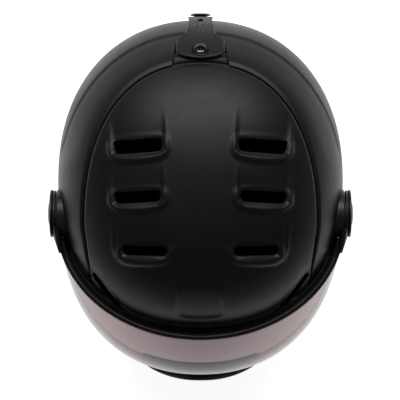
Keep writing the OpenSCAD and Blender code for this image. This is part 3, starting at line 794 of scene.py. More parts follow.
def lower_shell():
    """Skin round the sides and the back below the seam, from one temple to the other."""
    scan = np.arange(-90, 90, 0.05)
    open_at = crown_tilt(scan, SEAM_GAP) - edge_tilt(scan) > 0.6
    first = scan[open_at][0]
    angles = np.unique(np.concatenate([
        np.linspace(first, first + 8, 40), np.linspace(first + 8, 172 - first, 360),
        np.linspace(172 - first, 180 - first, 40)]))
    top = crown_tilt(angles, SEAM_GAP)
    sections = wall_sections(angles, top, edge_tilt(angles), 70, 30, crease_relief, 0.6)
    shell = loft("lower_shell_skin", sections)
    cut(shell, prism(retainer_outline(0.35), 150, 210))
    for side in SIDES.values():
        cut(shell, pivot_rod(HUB_R + 0.5, side, 90, 140))
    cut(shell, stud_rod(2.6, 130, 160))
    return give(shell, "helmet", LOWER, "shell", "lower_shell")


def liner():
    """Foam between the shell and the head cavity, with the vents' channels and the pivots' pockets."""
    angles = np.arange(0, 360, 2.0)
    shares = np.linspace(0, 1, 24)
    low = edge_tilt(angles, LINER_INSET, RIM_LIFT)
    tilt = low[:, None] + (89.9 - low)[:, None] * shares
    outer = shell_point(np.broadcast_to(angles[:, None], tilt.shape), tilt, LINER_INSET)
    outer[..., 2] += np.minimum(0, crown_relief(outer[..., 0], outer[..., 1]))
    low = head_tilt_at(edge_z(angles) + RIM_LIFT)
    tilt = (low[:, None] + (89.9 - low)[:, None] * shares)[:, ::-1]
    inner = head_point(np.broadcast_to(angles[:, None], tilt.shape), tilt)
    foam = loft("foam_liner", np.concatenate([outer, inner], 1), around=True)
    cut(foam, *vent_solids(-0.5))
    for side in SIDES.values():
        cut(foam, pivot_rod(HUB_R + 0.5, side, DISC_FOOT - 0.6, 140))
    return give(foam, "helmet", FOAM, "foam", "eps_liner")


def vent_filters():
    """Open-cell foam insert pressed into every vent, a little larger than its channel. Its near-black,
    almost shineless colour is painted shade for the depth of the vent below it.
    """
    inserts = vent_solids(0.3, (186, 190), (116, 120))
    give(unite(*inserts), "helmet", FILTER_SHADE, "foam", "vent_filters")


def rim_trim():
    """Rubber profile with a rounded lip round the shell's edge."""
    angles = np.arange(0, 360, 1.5)
    low = edge_z(angles)
    tilt = edge_tilt(angles)
    outside = shell_point(angles, tilt, -1)
    inside = shell_point(angles, tilt, 6)
    profile = [(0.06, -0.7), (0, -1.2), (0, -2.4), (0.08, -3.1), (0.2, -3.4), (0.85, -3.4), (0.96, -3.1),
               (1, -2.6), (1, -1.0), (0.94, -0.5), (0.8, -0.4), (0.2, -0.4)]
    rings = [np.stack([outside[:, 0] + (inside[:, 0] - outside[:, 0]) * share,
                       outside[:, 1] + (inside[:, 1] - outside[:, 1]) * share, low + drop], -1)
             for share, drop in profile]
    trim = loft("edge_trim", np.stack(rings, 1), around=True, sharp=60)
    return give(trim, "helmet", TRIM, "rubber", "rim_trim")


# ---------- goggle retainer ----------

def strap_half_w(tilt):
    """Half width of the rubber strap: a broad root, concave shoulders, a tongue and a round end."""
    neck = 9.3 + 2.7 * np.clip((tilt - 15) / 15, 0, 1)
    root = 7.2 * smooth(29.5, 35.5, tilt) ** 1.2
    tongue = 0.8 * (1 - smooth(3, 8, tilt)) - 4 * (np.clip(-tilt, 0, 7) / 7) ** 2.5
    return neck + root + tongue


def screw_frame():
    """Place and direction of the retainer's screw."""
    return shell_point(90, SCREW_TILT), np.array([0, sind(SCREW_LEAN), cosd(SCREW_LEAN)])


def retainer_plate():
    """Tray in the shell's recess: a shelf beside the seam and a floor under the strap."""
    top = np.linspace(0, 1, 36)[:, None]
    across = np.linspace(-1, 1, 30)[None, :]
    half_w = TRAY_LOW_HALF_W + (TRAY_TOP_HALF_W - TRAY_LOW_HALF_W) * 0.875 * top
    x = across * half_w
    seam_y = CROWN_Y + CROWN_REAR * (1 - (np.abs(x) / CROWN_HALF_W) ** CROWN_N) ** (1 / CROWN_N)
    y = TRAY_LOW_Y - (TRAY_LOW_Y - seam_y - SEAM_GAP) * top
    z = dome_z(x, y)
    edge = np.minimum(half_w - np.abs(x), TRAY_LOW_Y - y)
    from_seam = y - seam_y
    sunk = 1.1 + 2.4 * smooth(8.2, 10.5, from_seam) + 0.8 * hump(from_seam, 3.0, 2.4)
    sunk = sunk * smooth(-0.6, 1.6, edge) + 0.3
    plate, _ = between_grids("retainer_tray", stack(x, y, z - sunk), stack(x, y, z - TRAY_DEPTH))
    at, axis = screw_frame()
    cut(plate, rod(2.9, at - 12 * axis, at + 12 * axis))
    return give(plate, "helmet", PLASTIC, "shell_trim", "retainer_base")


def rubber_strap():
    """Root and tongue in one moulding, with a rib between two grooves and a hole for the screw."""
    tilts = [np.linspace(42.5, 41.6, 4), np.linspace(41.2, -6.2, 80), np.linspace(-6.5, -7, 3)]
    tilts = np.concatenate(tilts)
    out = shell_normal(90, tilts)
    ends = np.minimum(1, np.sqrt(np.clip(np.minimum(42.7 - tilts, tilts + 7.2) / 0.9, 0.05, 1)))
    half_w = strap_half_w(tilts) * (0.93 + 0.07 * ends)
    thick = np.where(tilts > 10, 2.3, 1.8) * (0.5 + 0.5 * ends)
    upper = np.concatenate([[1, 0.99, 0.96], np.linspace(0.92, -0.92, 70), [-0.96, -0.99, -1]])
    lower = np.array([-0.99, -0.96, -0.6, 0, 0.6, 0.96, 0.99])
    shares = np.concatenate([upper, lower])
    face = np.concatenate([np.ones(len(upper)), -np.ones(len(lower))])
    rounding = np.sqrt(1 - np.clip((np.abs(shares) - 0.92) / 0.08, 0, 1) ** 2)
    rings = []
    for k, tilt in enumerate(tilts):
        across = half_w[k] * shares
        up = 0.55 + thick[k] * (0.5 + 0.5 * face * rounding)
        middle_part = float(smooth(9, 12, tilt) * (1 - smooth(25, 31, tilt)))
        rib = (0.9 * hump(across, 0, 0.8) - 1.0 * hump(np.abs(across), 1.9, 0.7)) * middle_part
        bead = 0.3 * hump(np.abs(across), half_w[k] - 1.4, 0.8) * float(smooth(6, 12, tilt))
        up = up + np.where(face > 0, rib + bead, 0)
        smile = 2.8 * (1 - (across / 19.2) ** 2) * float(smooth(35, 42, tilt))
        middle = shell_point(90, tilt + smile)
        base = stack(across, middle[:, 1], middle[:, 2])
        rings.append(base + up[:, None] * out[k])
    strap = loft("retainer_rubber", rings, sharp=50)
    at, axis = screw_frame()
    cut(strap, rod(5, at - 4 * axis, at + 12 * axis, 48))
    slit = rounded_box(3.4, 2.6, 0.6)
    slit_at = shell_point(90, 12)
    cut(strap, prism(slit + [0, slit_at[1]], 130, 160))
    cut(strap, stud_rod(4.2, 140, 155, 48))
    hinge = shell_point(90, HINGE_TILT)
    along = shell_point(90, HINGE_TILT - 3) - shell_point(90, HINGE_TILT + 3)
    give(strap, None, RUBBER, "rubber", "retainer_strap_root", "retainer_strap")
    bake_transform(strap)
    return strap


def retainer_hardware():
    """Domed screw with a cross recess, its ring, and the snap that holds the strap's end."""
    at, axis = screw_frame()
    head = [(-8, 0), (-8, 2.5), (3.5, 2.5), (3.5, 5.2), (3.9, 5.3), (4.5, 4.9), (5.0, 4.0), (5.3, 2.6),
            (5.4, 0)]
    screw = lathe("retainer_bolt", head, at, axis)
    _, u, v = direction_frame(axis)
    for direction in (u, v):
        start = at + 4.6 * axis
        cut(screw, slab(start, direction, np.cross(axis, direction), axis, (5.2, 1.2, 2)))
    give(screw, "helmet", BLACK_CHROME, "dark_metal", "retainer_screw")
    ring = [(3.1, 3.2), (3.1, 6.3), (3.3, 6.7), (3.6, 6.6), (3.9, 6.1), (3.9, 5.6), (3.5, 5.4), (3.5, 3.2)]
    washer = lathe("retainer_washer", ring, at, axis)
    give(washer, "helmet", BLACKED, "dark_metal", "retainer_ring")
    cap = [(147.8, 0), (147.8, 5.4), (148.1, 5.6), (148.9, 5.6), (149.0, 8.0), (149.2, 8.3), (149.7, 8.3),
           (150.2, 7.7), (150.5, 7.0), (150.4, 4.6), (150.1, 4.0), (150.1, 0)]
    button = lathe("snap_button", [(y - 147.8, r) for y, r in cap], (0, 147.8, STUD_Z), (0, 1, 0))
    cut(button, stud_rod(4.2, 140, 149.2, 48))
    give(button, "retainer", PLASTIC, "black_plastic", "snap_cap")
    stud = [(0, 0), (0, 2.3), (7.6, 2.3), (7.9, 3.0), (8.2, 3.2), (8.9, 3.2), (9.4, 2.8), (9.6, 2.0),
            (9.6, 0)]
    post = lathe("snap_post", stud, (0, 138, STUD_Z), (0, 1, 0))
    give(post, "helmet", PLATED, "snap_metal", "snap_stud")


def slab(centre, u, v, w, size):
    """Box with its sides along three directions, on a foot about a centre."""
    corners = [(-0.5, -0.5), (0.5, -0.5), (0.5, 0.5), (-0.5, 0.5)]
    foot = [centre + a * size[0] * u + b * size[1] * v for a, b in corners]
    return loft("cutter", [foot, [corner + size[2] * w for corner in foot]])


# ---------- visor ----------

def visor_lens():
    """Sheet of one wall thickness with rounded edges, which reaches further round at its top."""
    shares = np.concatenate([[0.0], np.linspace(0.008, 0.992, 30), [1.0]])
    turns = np.linspace(-1, 1, 150)[:, None] * (84 - 10 * shares)[None, :]
    spread = np.broadcast_to(shares, turns.shape)
    rounding = np.where((spread == 0) | (spread == 1), 0.6, 0)
    outer = lens_point(turns, spread, rounding)
    inner = lens_point(turns, spread, LENS_WALL - rounding)
    sheet = loft("lens", np.concatenate([outer, inner[:, ::-1]], 1), sharp=50)
    for side in SIDES.values():
        combine(sheet, lens_tab(side), "UNION", 50)
    for side in SIDES.values():
        cut(sheet, pivot_rod(HUB_R + 0.8, side, 100, TAB_FACE, 128))
        cut(sheet, pivot_rod(2.55, side, TAB_FACE - 1, TAB_FACE + TAB_WALL + 1))
    shade(sheet, 50)
    return give(sheet, "visor", LENS, "lens", "visor_lens")


def lens_tab(side):
    """Round ear of the lens at a pivot, run into the side of the lens."""
    work = bmesh.new()
    radius = HUB_R - 0.7
    outer = TAB_FACE + TAB_WALL
    for x, r in ((TAB_FACE, radius), (outer - 0.5, radius), (outer, radius - 0.5)):
        for angle in np.arange(0, 360, 5):
            y, z = PIVOT_Y + r * cosd(angle), PIVOT_Z + r * sind(angle)
            work.verts.new((side * x * MM, y * MM, z * MM))
    for x in (112.4, 114.6):             # inside the lens's side, which the ear runs into
        for y, z in ((-45, 112), (-45, 143), (-40, 112), (-40, 143)):
            work.verts.new((side * x * MM, y * MM, z * MM))
    bmesh.ops.convex_hull(work, input=work.verts)
    loose = [v for v in work.verts if not v.link_faces]
    bmesh.ops.delete(work, geom=loose, context="VERTS")
    mesh = bpy.data.meshes.new("tab")
    work.to_mesh(mesh)
    work.free()
    tab = in_scene("tab", mesh)
    tidy(tab)
    return tab


def follow_lens(name, profile, reach, sharp=40):
    """Moulding along the lens's top edge. The profile is (inset from the lens's face, height over it)."""
    turns = np.linspace(-reach, reach, 150)
    rings = []
    for inset, height in profile:
        point = lens_point(turns, np.zeros_like(turns), inset)
        point[:, 2] += height
        rings.append(point)
    return loft(name, np.stack(rings, 1), sharp=sharp)


FRAME_TURN, SEAL_TURN = 82, 72           # how far round the lens the frame and the seal reach


def visor_frame():
    """Channel that grips the lens's top edge, with a bead along it whose lighter colour is a painted
    highlight, and the seal behind it.
    """
    channel = [(-0.4, -2.4), (-0.6, -2.0), (-0.6, 0.2), (-0.4, 0.8), (0.0, 1.2), (0.5, 1.2), (1.2, 0.9),
               (1.8, 0.5), (3.8, 0.4), (4.6, 0.2), (5.1, -0.4), (5.1, -7.4), (4.8, -7.8), (2.9, -7.8),
               (2.5, -7.4), (2.5, 0.1), (-0.1, 0.1), (-0.1, -2.2), (-0.2, -2.4)]
    give(follow_lens("lens_frame", channel, FRAME_TURN), "visor", FRAME, "black_plastic", "visor_frame")
    bead = [(1.8, 0.3), (1.9, 0.7), (2.3, 0.85), (2.7, 0.7), (2.8, 0.3)]
    give(follow_lens("frame_bead_highlight", bead, SEAL_TURN), "visor", BEAD_HIGHLIGHT, "black_plastic")
    bulb = [(5.2, -1.6), (6.2, -1.0), (7.0, -1.4), (7.3, -2.3), (7.0, -3.2), (6.4, -3.8), (6.5, -5.4),
            (6.2, -6.4), (5.4, -6.6), (5.2, -6.2)]
    give(follow_lens("brow_seal_bulb", bulb, SEAL_TURN), "visor", SEAL, "rubber", "visor_brow_seal")


def on_front(point, grow):
    """The front of the shell at the height of each point, beside it in plan."""
    x, y, z = point[..., 0], point[..., 1] - MID_Y, point[..., 2]
    reach = (1 - ((z - MID_Z) / SHELL_RISE) ** SIDE_N) ** (1 / SIDE_N)
    far = (np.abs(x) / (SHELL_HALF_W + grow)) ** PLAN_N + (np.abs(y) / (SHELL_FRONT + grow)) ** PLAN_N
    share = reach / far ** (1 / PLAN_N)
    return stack(x * share, MID_Y + y * share, z)


def brow_gasket():
    """Rubber lip fixed to the brow below the visor's frame."""
    turns = np.linspace(-84, 84, 200)
    rings = []
    for share, down in [(0.0, 0.2), (0.3, 0.0), (0.8, 0.1), (0.95, 0.6), (1.0, 1.4), (0.95, 2.3), (0.8, 2.9),
                        (0.3, 3.0), (0.0, 3.0)]:
        out = lens_point(turns, np.zeros_like(turns), 4.4)
        out[:, 2] -= 9.4 + down
        rings.append(out * share + on_front(out, -2.2) * (1 - share))
    give(loft("brow_lip", np.stack(rings, 1), sharp=60), "helmet", SEAL, "rubber", "brow_gasket")


NOSE_TURN = 22           # the nose guard's half width round the lens


def nose_guard():
    """Soft rubber lip on the lens's lower edge, thickest at the middle."""
    turns = np.linspace(-NOSE_TURN, NOSE_TURN, 80)
    edge = lens_point(turns, np.ones_like(turns))
    fuller = np.maximum(cosd(turns * 90 / NOSE_TURN), 0) ** 0.6
    front = 3.6 + 7.9 * fuller
    deep = 3 + 3 * fuller
    rings = []
    for ahead, down in [(0.0, 0.0), (0.35, -0.02), (0.7, 0.02), (0.92, 0.15), (1.0, 0.4), (0.98, 0.7),
                        (0.88, 0.95), (0.6, 1.0), (0.3, 0.95), (0.0, 0.85), (-0.6, 0.6), (-0.8, 0.3),
                        (-0.6, 0.05)]:
        y = edge[:, 1] - (front * ahead if ahead >= 0 else 4.5 * ahead)
        rings.append(np.stack([edge[:, 0], y, edge[:, 2] - 0.4 - deep * down], -1))
    guard = loft("nose_lip", np.stack(rings, 1), sharp=70)
    return give(guard, "visor", NOSE, "rubber", "visor_nose_guard")


DIMPLE_AT = 16.6         # distance of the cap's three holes from its axis


def pivots():
    """Base disc on the shell, washer, and the stepped cap that turns with the lens."""
    hub = HUB_R
    base = [(0, 0), (0, hub), (9.6, hub), (10.3, hub - 0.25), (10.8, hub - 0.9), (11.0, hub - 1.6),
            (11.0, 0)]
    cap = [(0, 0), (0, hub - 0.6), (0.3, hub - 0.15), (0.9, hub), (1.5, hub - 0.2), (1.8, hub - 0.9),
           (1.7, 14.4), (1.8, 13.9), (2.1, 13.6), (2.3, 13.0), (2.4, 9.6), (2.6, 9.2), (3.0, 8.8),
           (3.3, 8.0), (3.5, 6.0), (3.5, 0)]
    for name, side in SIDES.items():
        axis = (side, 0, 0)
        disc = lathe("pivot_disc_" + name, base, (side * DISC_FOOT, PIVOT_Y, PIVOT_Z), axis, 128)
        cut(disc, pivot_rod(4.2, side, 100, 120))
        give(disc, "helmet", PLASTIC, "black_plastic", "pivot_base_" + name)
        cover = lathe("pivot_cover_" + name, cap, (side * CAP_FACE, PIVOT_Y, PIVOT_Z), axis, 128)
        cut(cover, pivot_rod(6.2, side, 119, TAB_FACE + TAB_WALL + 2.9))
        for angle in (90, 210, 330):
            y, z = PIVOT_Y + DIMPLE_AT * cosd(angle), PIVOT_Z + DIMPLE_AT * sind(angle)
            cut(cover, rod(0.9, (side * (CAP_FACE + 1.2), y, z), (side * (CAP_FACE + 3.2), y, z), 24))
        give(cover, "visor", PLASTIC, "black_plastic", "pivot_cap_" + name)
        dress("pivot_insert_" + name, BRASS)
        dress("pivot_washer_" + name, NYLON)
        dress("pivot_screw_" + name, BLACK_CHROME)


# ---------- fit system ----------

FIT_Y, FIT_Z, FIT_TILT, DIAL_R = 110, 36, 28, 15


def fit_place(points):
    """From the fit system's own frame to the helmet's."""
    points = np.asarray(points, float)
    c, s = cosd(-FIT_TILT), sind(-FIT_TILT)
    x, y, z = points[..., 0], points[..., 1], points[..., 2]
    return np.stack([x, FIT_Y + y * c - z * s, FIT_Z + y * s + z * c], -1)


def fit_dial():
    """Knurled knob with a dished face and a grip bar."""
    angles = np.arange(0, 360, 1.5)
    grip = 0.9 * np.abs(cosd(angles * 10)) ** 0.7
    profile = [(4.7, 0.90, 0), (4.8, 0.94, 0.6), (5.4, 0.97, 1), (6.2, 0.98, 1), (9.8, 0.98, 1),
               (10.8, 0.96, 1), (11.6, 0.93, 0.7), (12.0, 0.86, 0.2), (12.0, 0.78, 0), (11.3, 0.72, 0),
               (10.8, 0.66, 0), (10.6, 0.50, 0), (10.6, 0.02, 0)]
    rings = []
    for y, share, ridged in profile:
        r = DIAL_R * share + grip * ridged - 0.4 * ridged
        rings.append(np.stack([r * cosd(angles), np.full_like(angles, y), r * sind(angles)], -1))
    knob = loft("fit_knob", fit_place(np.stack(rings, 0)), sharp=50)
    bar = [fit_place([(x * w, y, z) for x, z in rounded_box(4.4, 19, 2.1)])
           for y, w in ((10.4, 1), (11.6, 1), (12.0, 0.6))]
    unite(knob, loft("bar", bar, sharp=60))
    give(knob, "dial", PLASTIC, "black_plastic", "fit_dial")


def fit_system():
    fit_dial()
    dress("fit_pinion", NYLON)
    for node in ("fit_housing", "fit_cover", "fit_hanger", "fit_band_left", "fit_band_right",
                 "fit_guide_left", "fit_guide_right", "ear_clips"):
        dress(node, PLASTIC)
    dress("strap_anchors", PLATED)
    dress("buckle_magnet_base", NICKEL)
    dress("buckle_magnet_slider", NICKEL)


# ---------- comfort pads ----------

SWELL_FRAMES, SWELL_PUSH = 14, 120       # length of the simulation, and the foam's pressure


def crown_of(a, b):
    """Share of a pad's full thickness at a place from -1 to 1 each way: full, with round shoulders."""
    return (np.clip(1 - np.abs(a) ** 5.0, 0, 1) * np.clip(1 - np.abs(b) ** 5.0, 0, 1)) ** 0.5


def channels_of(value, places, width, depth):
    return sum(-depth * hump(value, place, width) for place in places)


def swell(pad, held):
    """Cloth simulation of a pad's cover, run and applied: foam pushes it out from where it is held."""
    scene = bpy.context.scene
    group = pad.vertex_groups.new(name="held")
    group.add([int(k) for k in held], 1.0, "REPLACE")
    cover = pad.modifiers.new("cover", "CLOTH")
    cover.collision_settings.use_collision = False
    cover.point_cache.frame_end = SWELL_FRAMES
    cloth = cover.settings
    cloth.vertex_group_mass = "held"
    cloth.quality = 5
    cloth.mass = 0.01
    cloth.air_damping = 4
    cloth.tension_stiffness = 12
    cloth.compression_stiffness = 12
    cloth.shear_stiffness = 4
    cloth.bending_stiffness = 0.3
    cloth.effector_weights.gravity = 0
    cloth.use_pressure = True
    cloth.uniform_pressure_force = SWELL_PUSH
    for number in range(1, SWELL_FRAMES + 1):
        scene.frame_set(number)
        shape = pad.evaluated_get(bpy.context.evaluated_depsgraph_get()).data
    places = np.empty(3 * len(shape.vertices), np.float32)
    shape.vertices.foreach_get("co", places)
    pad.modifiers.remove(cover)
    pad.vertex_groups.remove(group)
    pad.data.vertices.foreach_set("co", places)
    pad.data.update()
    scene.frame_set(1)


def pillow(name, surface, thick, rows=46, columns=90, channels=()):
    """Crowned pad over a surface: surface(a, b, depth) takes a and b from -1 to 1."""
    a = np.linspace(-1, 1, columns)[None, :] + np.zeros((rows, 1))
    b = np.linspace(-1, 1, rows)[:, None] + np.zeros((1, columns))
    pull_a, pull_b = a * (1 - 0.05 * b ** 6), b * (1 - 0.10 * a ** 6)
    full = 0.16 + 0.84 * crown_of(a, b)
    for along, places, width, depth in channels:
        full = full + channels_of(a if along == "a" else b, places, width, depth) * crown_of(a, b)
    front = surface(pull_a, pull_b, thick * np.maximum(full, 0.12))
    back = surface(pull_a, pull_b, np.zeros_like(a))
    pad, rim = between_grids(name, front, back, sharp=75)
    count = rows * columns
    sewn = np.zeros(a.shape, bool)
    for along, places, _, _ in channels:
        value, count_along = (a, columns) if along == "a" else (b, rows)
        for place in places:
            sewn |= np.abs(value - place) < 2.4 / count_along
    swell(pad, set(np.flatnonzero(sewn)) | set(rim) | set(range(count, 2 * count)))
    edge = surface(pull_a, pull_b, np.full_like(a, thick * 0.16)).reshape(-1, 3)[rim]
    return pad, tube(name + "_piping", edge, 0.9, closed=True)


def finish_pad(pad, piping, body, *nodes, fill=0.6):
    give(pad, body, KNIT, "lining", *nodes)
    give(piping, body, PIPING, "lining")


def patch(first, last, low, high, gap=1.2):
    """Surface of a pad on the head cavity, between two angles and two heights."""
    def surface(a, b, depth):
        angle = first + (last - first) * (a + 1) / 2
        height = low + (high - low) * (b + 1) / 2
        return head_point(angle, head_tilt_at(height, gap + depth), gap + depth)
    return surface


def crown_surface(a, b, depth):
    x = a * np.sqrt(1 - b ** 2 / 2)
    y = b * np.sqrt(1 - a ** 2 / 2)
    reach = np.minimum(np.hypot(x, y), 1)
    return head_point(np.degrees(np.arctan2(y, x)), 90 - 32 * reach, 0.6 + depth)


def head_pads():
    quilted = [("a", (-0.66, -0.33, 0, 0.33, 0.66), 0.035, 0.5)]
    finish_pad(*pillow("brow_cushion", patch(215, 325, 117, 139), 7, channels=quilted), "helmet", "brow_pad")
    finish_pad(*pillow("nape_cushion", patch(62, 118, 92, 122), 7, channels=[("a", (-0.4, 0.4), 0.04, 0.5)]),
               "helmet", "nape_pad")
    right = patch(-24, 34, 104, 146)
    seam = [("b", (0,), 0.05, 0.45)]
    finish_pad(*pillow("side_cushion_right", right, 6, channels=seam), "helmet", "side_pad_right")

    def left(a, b, depth):
        return right(a, b, depth) * np.array([-1, 1, 1])

    finish_pad(*pillow("side_cushion_left", left, 6, channels=seam), "helmet", "side_pad_left")
    star = [("a", (-0.4, 0.4), 0.04, 0.45), ("b", (-0.4, 0.4), 0.04, 0.45)]
    finish_pad(*pillow("crown_cushion", crown_surface, 6, 70, 70, channels=star), "helmet", "crown_pad")


EAR_CIRCLES = [(-22, 12, 12), (40, 12, 12), (-24, 66, 16), (34, 66, 16)]
EAR_HOLE = (6, 50, 17)
EAR_SEAMS = (0, 12, 13, 25, 26, 38, 39, 51)     # rings of the ear pad that are sewn down


def ear_outline_reach(angle):
    """Distance from the ear hole's centre to the ear pad's outline along each direction."""
    spots = []
    for y, z, r in EAR_CIRCLES:
        for turn in np.arange(0, 360, 4):
            spots.append((y + r * cosd(turn) - EAR_HOLE[0], z + r * sind(turn) - EAR_HOLE[1]))
    spots = np.array(spots)
    return np.array([hull_reach(spots, cosd(a), sind(a)) for a in angle])


def hull_reach(spots, dy, dz):
    """How far a ray from the origin goes before it leaves the convex hull of spots."""
    best = 1e9
    for turn in np.arange(0, 360, 3):
        ny, nz = cosd(turn), sind(turn)
        facing = ny * dy + nz * dz
        if facing > 0.05:
            best = min(best, (spots @ np.array([ny, nz])).max() / facing)
    return best


def ear_pads():
    """Cushion with a hole for the ear, sewn down along its edges and its middle, with piping."""
    angles = np.arange(0, 360, 2.0)
    reach = ear_outline_reach(angles)
    across = np.linspace(0, 1, 26)
    crowned = np.clip(1 - np.abs(2 * across - 1) ** 5, 0, 1) ** 0.5
    hole_y, hole_z, hole_r = EAR_HOLE
    for name, side in SIDES.items():
        def ring(x, r):
            return stack(side * x, hole_y + r * cosd(angles), hole_z + r * sind(angles))

        rings = []
        for share, full in zip(across, crowned):
            stitch = 0.9 * hump(share, 0.5, 0.035) * (reach > 30)
            rings.append(ring(77 - 5 * full + stitch, hole_r + (reach - hole_r) * share))
        for share, full in zip(across[::-1], crowned[::-1]):
            rings.append(ring(87 + 5 * full, hole_r + (reach - hole_r) * share))
        pad = loft("ear_cushion_" + name, np.stack(rings, 1), around=True, sharp=75)
        sewn = [k for k in range(len(pad.data.vertices)) if k % len(rings) in EAR_SEAMS]
        swell(pad, sewn)
        seams = [tube("piping", ring(x, reach - 0.2), 0.9, closed=True) for x in (77.5, 86.5)]
        seams[0].name = "ear_piping_" + name
        unite(*seams)
        for part in (pad, seams[0]):            # the helmet stands on its ear pads
            for vertex in part.data.vertices:
                vertex.co.z = max(vertex.co.z, 0)
        finish_pad(pad, seams[0], "helmet", "ear_pad_" + name, fill=0.7)


# ---------- chin strap ----------

def curve_through(points, steps):
    """Smooth line through points. Each row may carry more values after its place."""
    points = np.asarray(points, float)
    padded = np.concatenate([[2 * points[0] - points[1]], points, [2 * points[-1] - points[-2]]])
    line = []
    for k in range(1, len(padded) - 2):
        p0, p1, p2, p3 = padded[k - 1:k + 3]
        for t in np.linspace(0, 1, steps, endpoint=False):
            line.append(0.5 * (2 * p1 + (p2 - p0) * t + (2 * p0 - 5 * p1 + 4 * p2 - p3) * t ** 2
                               + (3 * p1 - p0 - 3 * p2 + p3) * t ** 3))
    line.append(points[-1])
    return np.array(line)


WEBBING_THICK = 1.8


def ribbon(name, path, across, out, width):
    """Webbing with bound edges along a path. Across and out give its two directions at each point."""
    upper = [(-1, 0), (-0.99, 0.62), (-0.93, 0.95), (-0.88, 0.95), (-0.84, 0.72), (-0.4, 0.8), (0, 0.84),
             (0.4, 0.8), (0.84, 0.72), (0.88, 0.95), (0.93, 0.95), (0.99, 0.62)]
    rings = [path + across * (share * width / 2) + out * (lift * WEBBING_THICK / 2)
             for share, lift in upper + [(-share, -lift) for share, lift in upper]]
    return loft(name, np.stack(rings, 1), sharp=60)


STRAP_ROUTE = [  # place along the lower webbing, and the direction of its outer face
    ((64, 4, 34), (1, 0, 0)), ((64, 4, 14), (1, 0, 0)), ((63.2, 4, 8), (0.92, 0, -0.38)),
    ((60, 4, 4), (0.6, 0, -0.8)), ((54, 4, 2.4), (0.12, 0, -0.99))]
WEBBING_ENDS = {"left": -8.2, "right": 49.3}     # in the buckle's base, before mirroring, and in its slider


def strap_leg(anchor, end, side):
    """Webbing from an anchor in the shell to the divider, with the anchor's hole in it."""
    anchor = np.array(anchor, float)
    run = unit(end - anchor)
    across = unit(np.cross([1, 0, 0], run))
    out = np.cross(run, across)
    shares = np.linspace(0, 1, 24)[:, None]
    path = anchor - 7 * run + (end - anchor + 7 * run) * shares
    leg = ribbon("leg", path, across, out, 15)
    cut(leg, rod(2.6, (50, anchor[1], ANCHOR_Z), (75, anchor[1], ANCHOR_Z), 32))
    if side < 0:
        mirror_in_place(leg)
    return leg


def mirror_in_place(obj):
    obj.data.transform(Matrix.Scale(-1, 4, (1, 0, 0)))
    obj.data.flip_normals()


def chin_straps():
    for name, side in SIDES.items():
        route = STRAP_ROUTE + [((WEBBING_ENDS[name], 4, 2.4), (0, 0, -1))]
        both = curve_through([place + out for place, out in route], 12)
        path, out = both[:, :3], unit(both[:, 3:])
        lower = ribbon("chin_webbing_" + name, path, np.array([[0, 1.0, 0]]), out, 20)
        if side < 0:
            mirror_in_place(lower)
        legs = [strap_leg((x, y, ANCHOR_Z), np.array(STRAP_TOP) + [0, step, 3], side)
                for x, y, step in zip(ANCHOR_X, ANCHOR_Y, (-7, 7))]
        unite(lower, *legs)
        if side > 0:
            give(lower, None, WEBBING, "webbing", "strap_right")
            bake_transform(lower)
        else:
            give(lower, "helmet", WEBBING, "webbing", "strap_left")
    for name, side in SIDES.items():
        divider(name, side)
    keeper()


def divider(name, side):
    """Two-into-one slider where the legs meet, with rounded shoulders."""
    outline = []
    for y, z, first, last in [(-10, 2, 90, 225), (0, -4, 225, 315), (10, 2, -45, 90)]:
        for angle in np.linspace(first, last, 12):
            outline.append((4 + y + 5 * cosd(angle), 37 + z + 5 * sind(angle)))
    outline = np.array(outline)
    middle = outline.mean(0)
    rings = []
    for x, share in [(60.2, 0.9), (60.5, 0.97), (61.2, 1.0), (66.8, 1.0), (67.5, 0.97), (67.8, 0.9)]:
        ring = middle + (outline - middle) * share
        rings.append(stack(side * x, ring[:, 0], ring[:, 1]))
    piece = loft("strap_slider_" + name, rings, sharp=40)
    low, high = sorted((side * 62, side * 66.2))
    cut(piece, block((low, -15, 20), (high, 23, 60)))
    give(piece, "helmet", PLASTIC, "black_plastic", "strap_divider_" + name)


def rounded_block(name, low, high, radius, edge):
    """Box with round upright corners and softened top and bottom edges."""
    (x0, y0, z0), (x1, y1, z1) = low, high
    middle = np.array([(x0 + x1) / 2, (y0 + y1) / 2])
    rings = []
    for z, inset in [(z0, edge), (z0 + 0.3 * edge, 0.3 * edge), (z0 + edge, 0), (z1 - edge, 0),
                     (z1 - 0.3 * edge, 0.3 * edge), (z1, edge)]:
        ring = middle + rounded_box(x1 - x0 - 2 * inset, y1 - y0 - 2 * inset, radius - 0.5 * inset)
        rings.append(stack(ring[:, 0], ring[:, 1], z))
    return loft(name, rings, sharp=40)


def keeper():
    band = rounded_block("webbing_loop", (60, -8.4, 20), (68, 16.4, 27), 1.8, 0.8)
    cut(band, block((62.6, -6.4, 19), (65.4, 14.4, 28)))
    give(band, "helmet", RUBBER, "rubber", "strap_keeper")


def webbing_slot(first, last, grow=0):
    """Opening for the chin webbing, between two places along X."""
    return block((first, -6.4 - grow, 1.2), (last, 14.4 + grow, 3.6))


def chin_cushion():
    """Soft sleeve round the webbing, crowned above."""
    def surface(a, b, depth):
        return stack(-22.5 + 28.5 * a, 4 + 18 * b, 0.2 + depth)

    sewn = [("a", (-0.5, 0, 0.5), 0.05, 0.28)]
    pad, piping = pillow("chin_cushion", surface, 7.4, columns=70, channels=sewn)
    cut(pad, webbing_slot(-60, 10, 0.2))
    finish_pad(pad, piping, "helmet", "chin_pad", fill=0.7)


def magnet_seat(low):
    """Round pocket for a magnet, 3 mm deep."""
    return rod(4.1, (27, 4, low), (27, 4, low + 3))


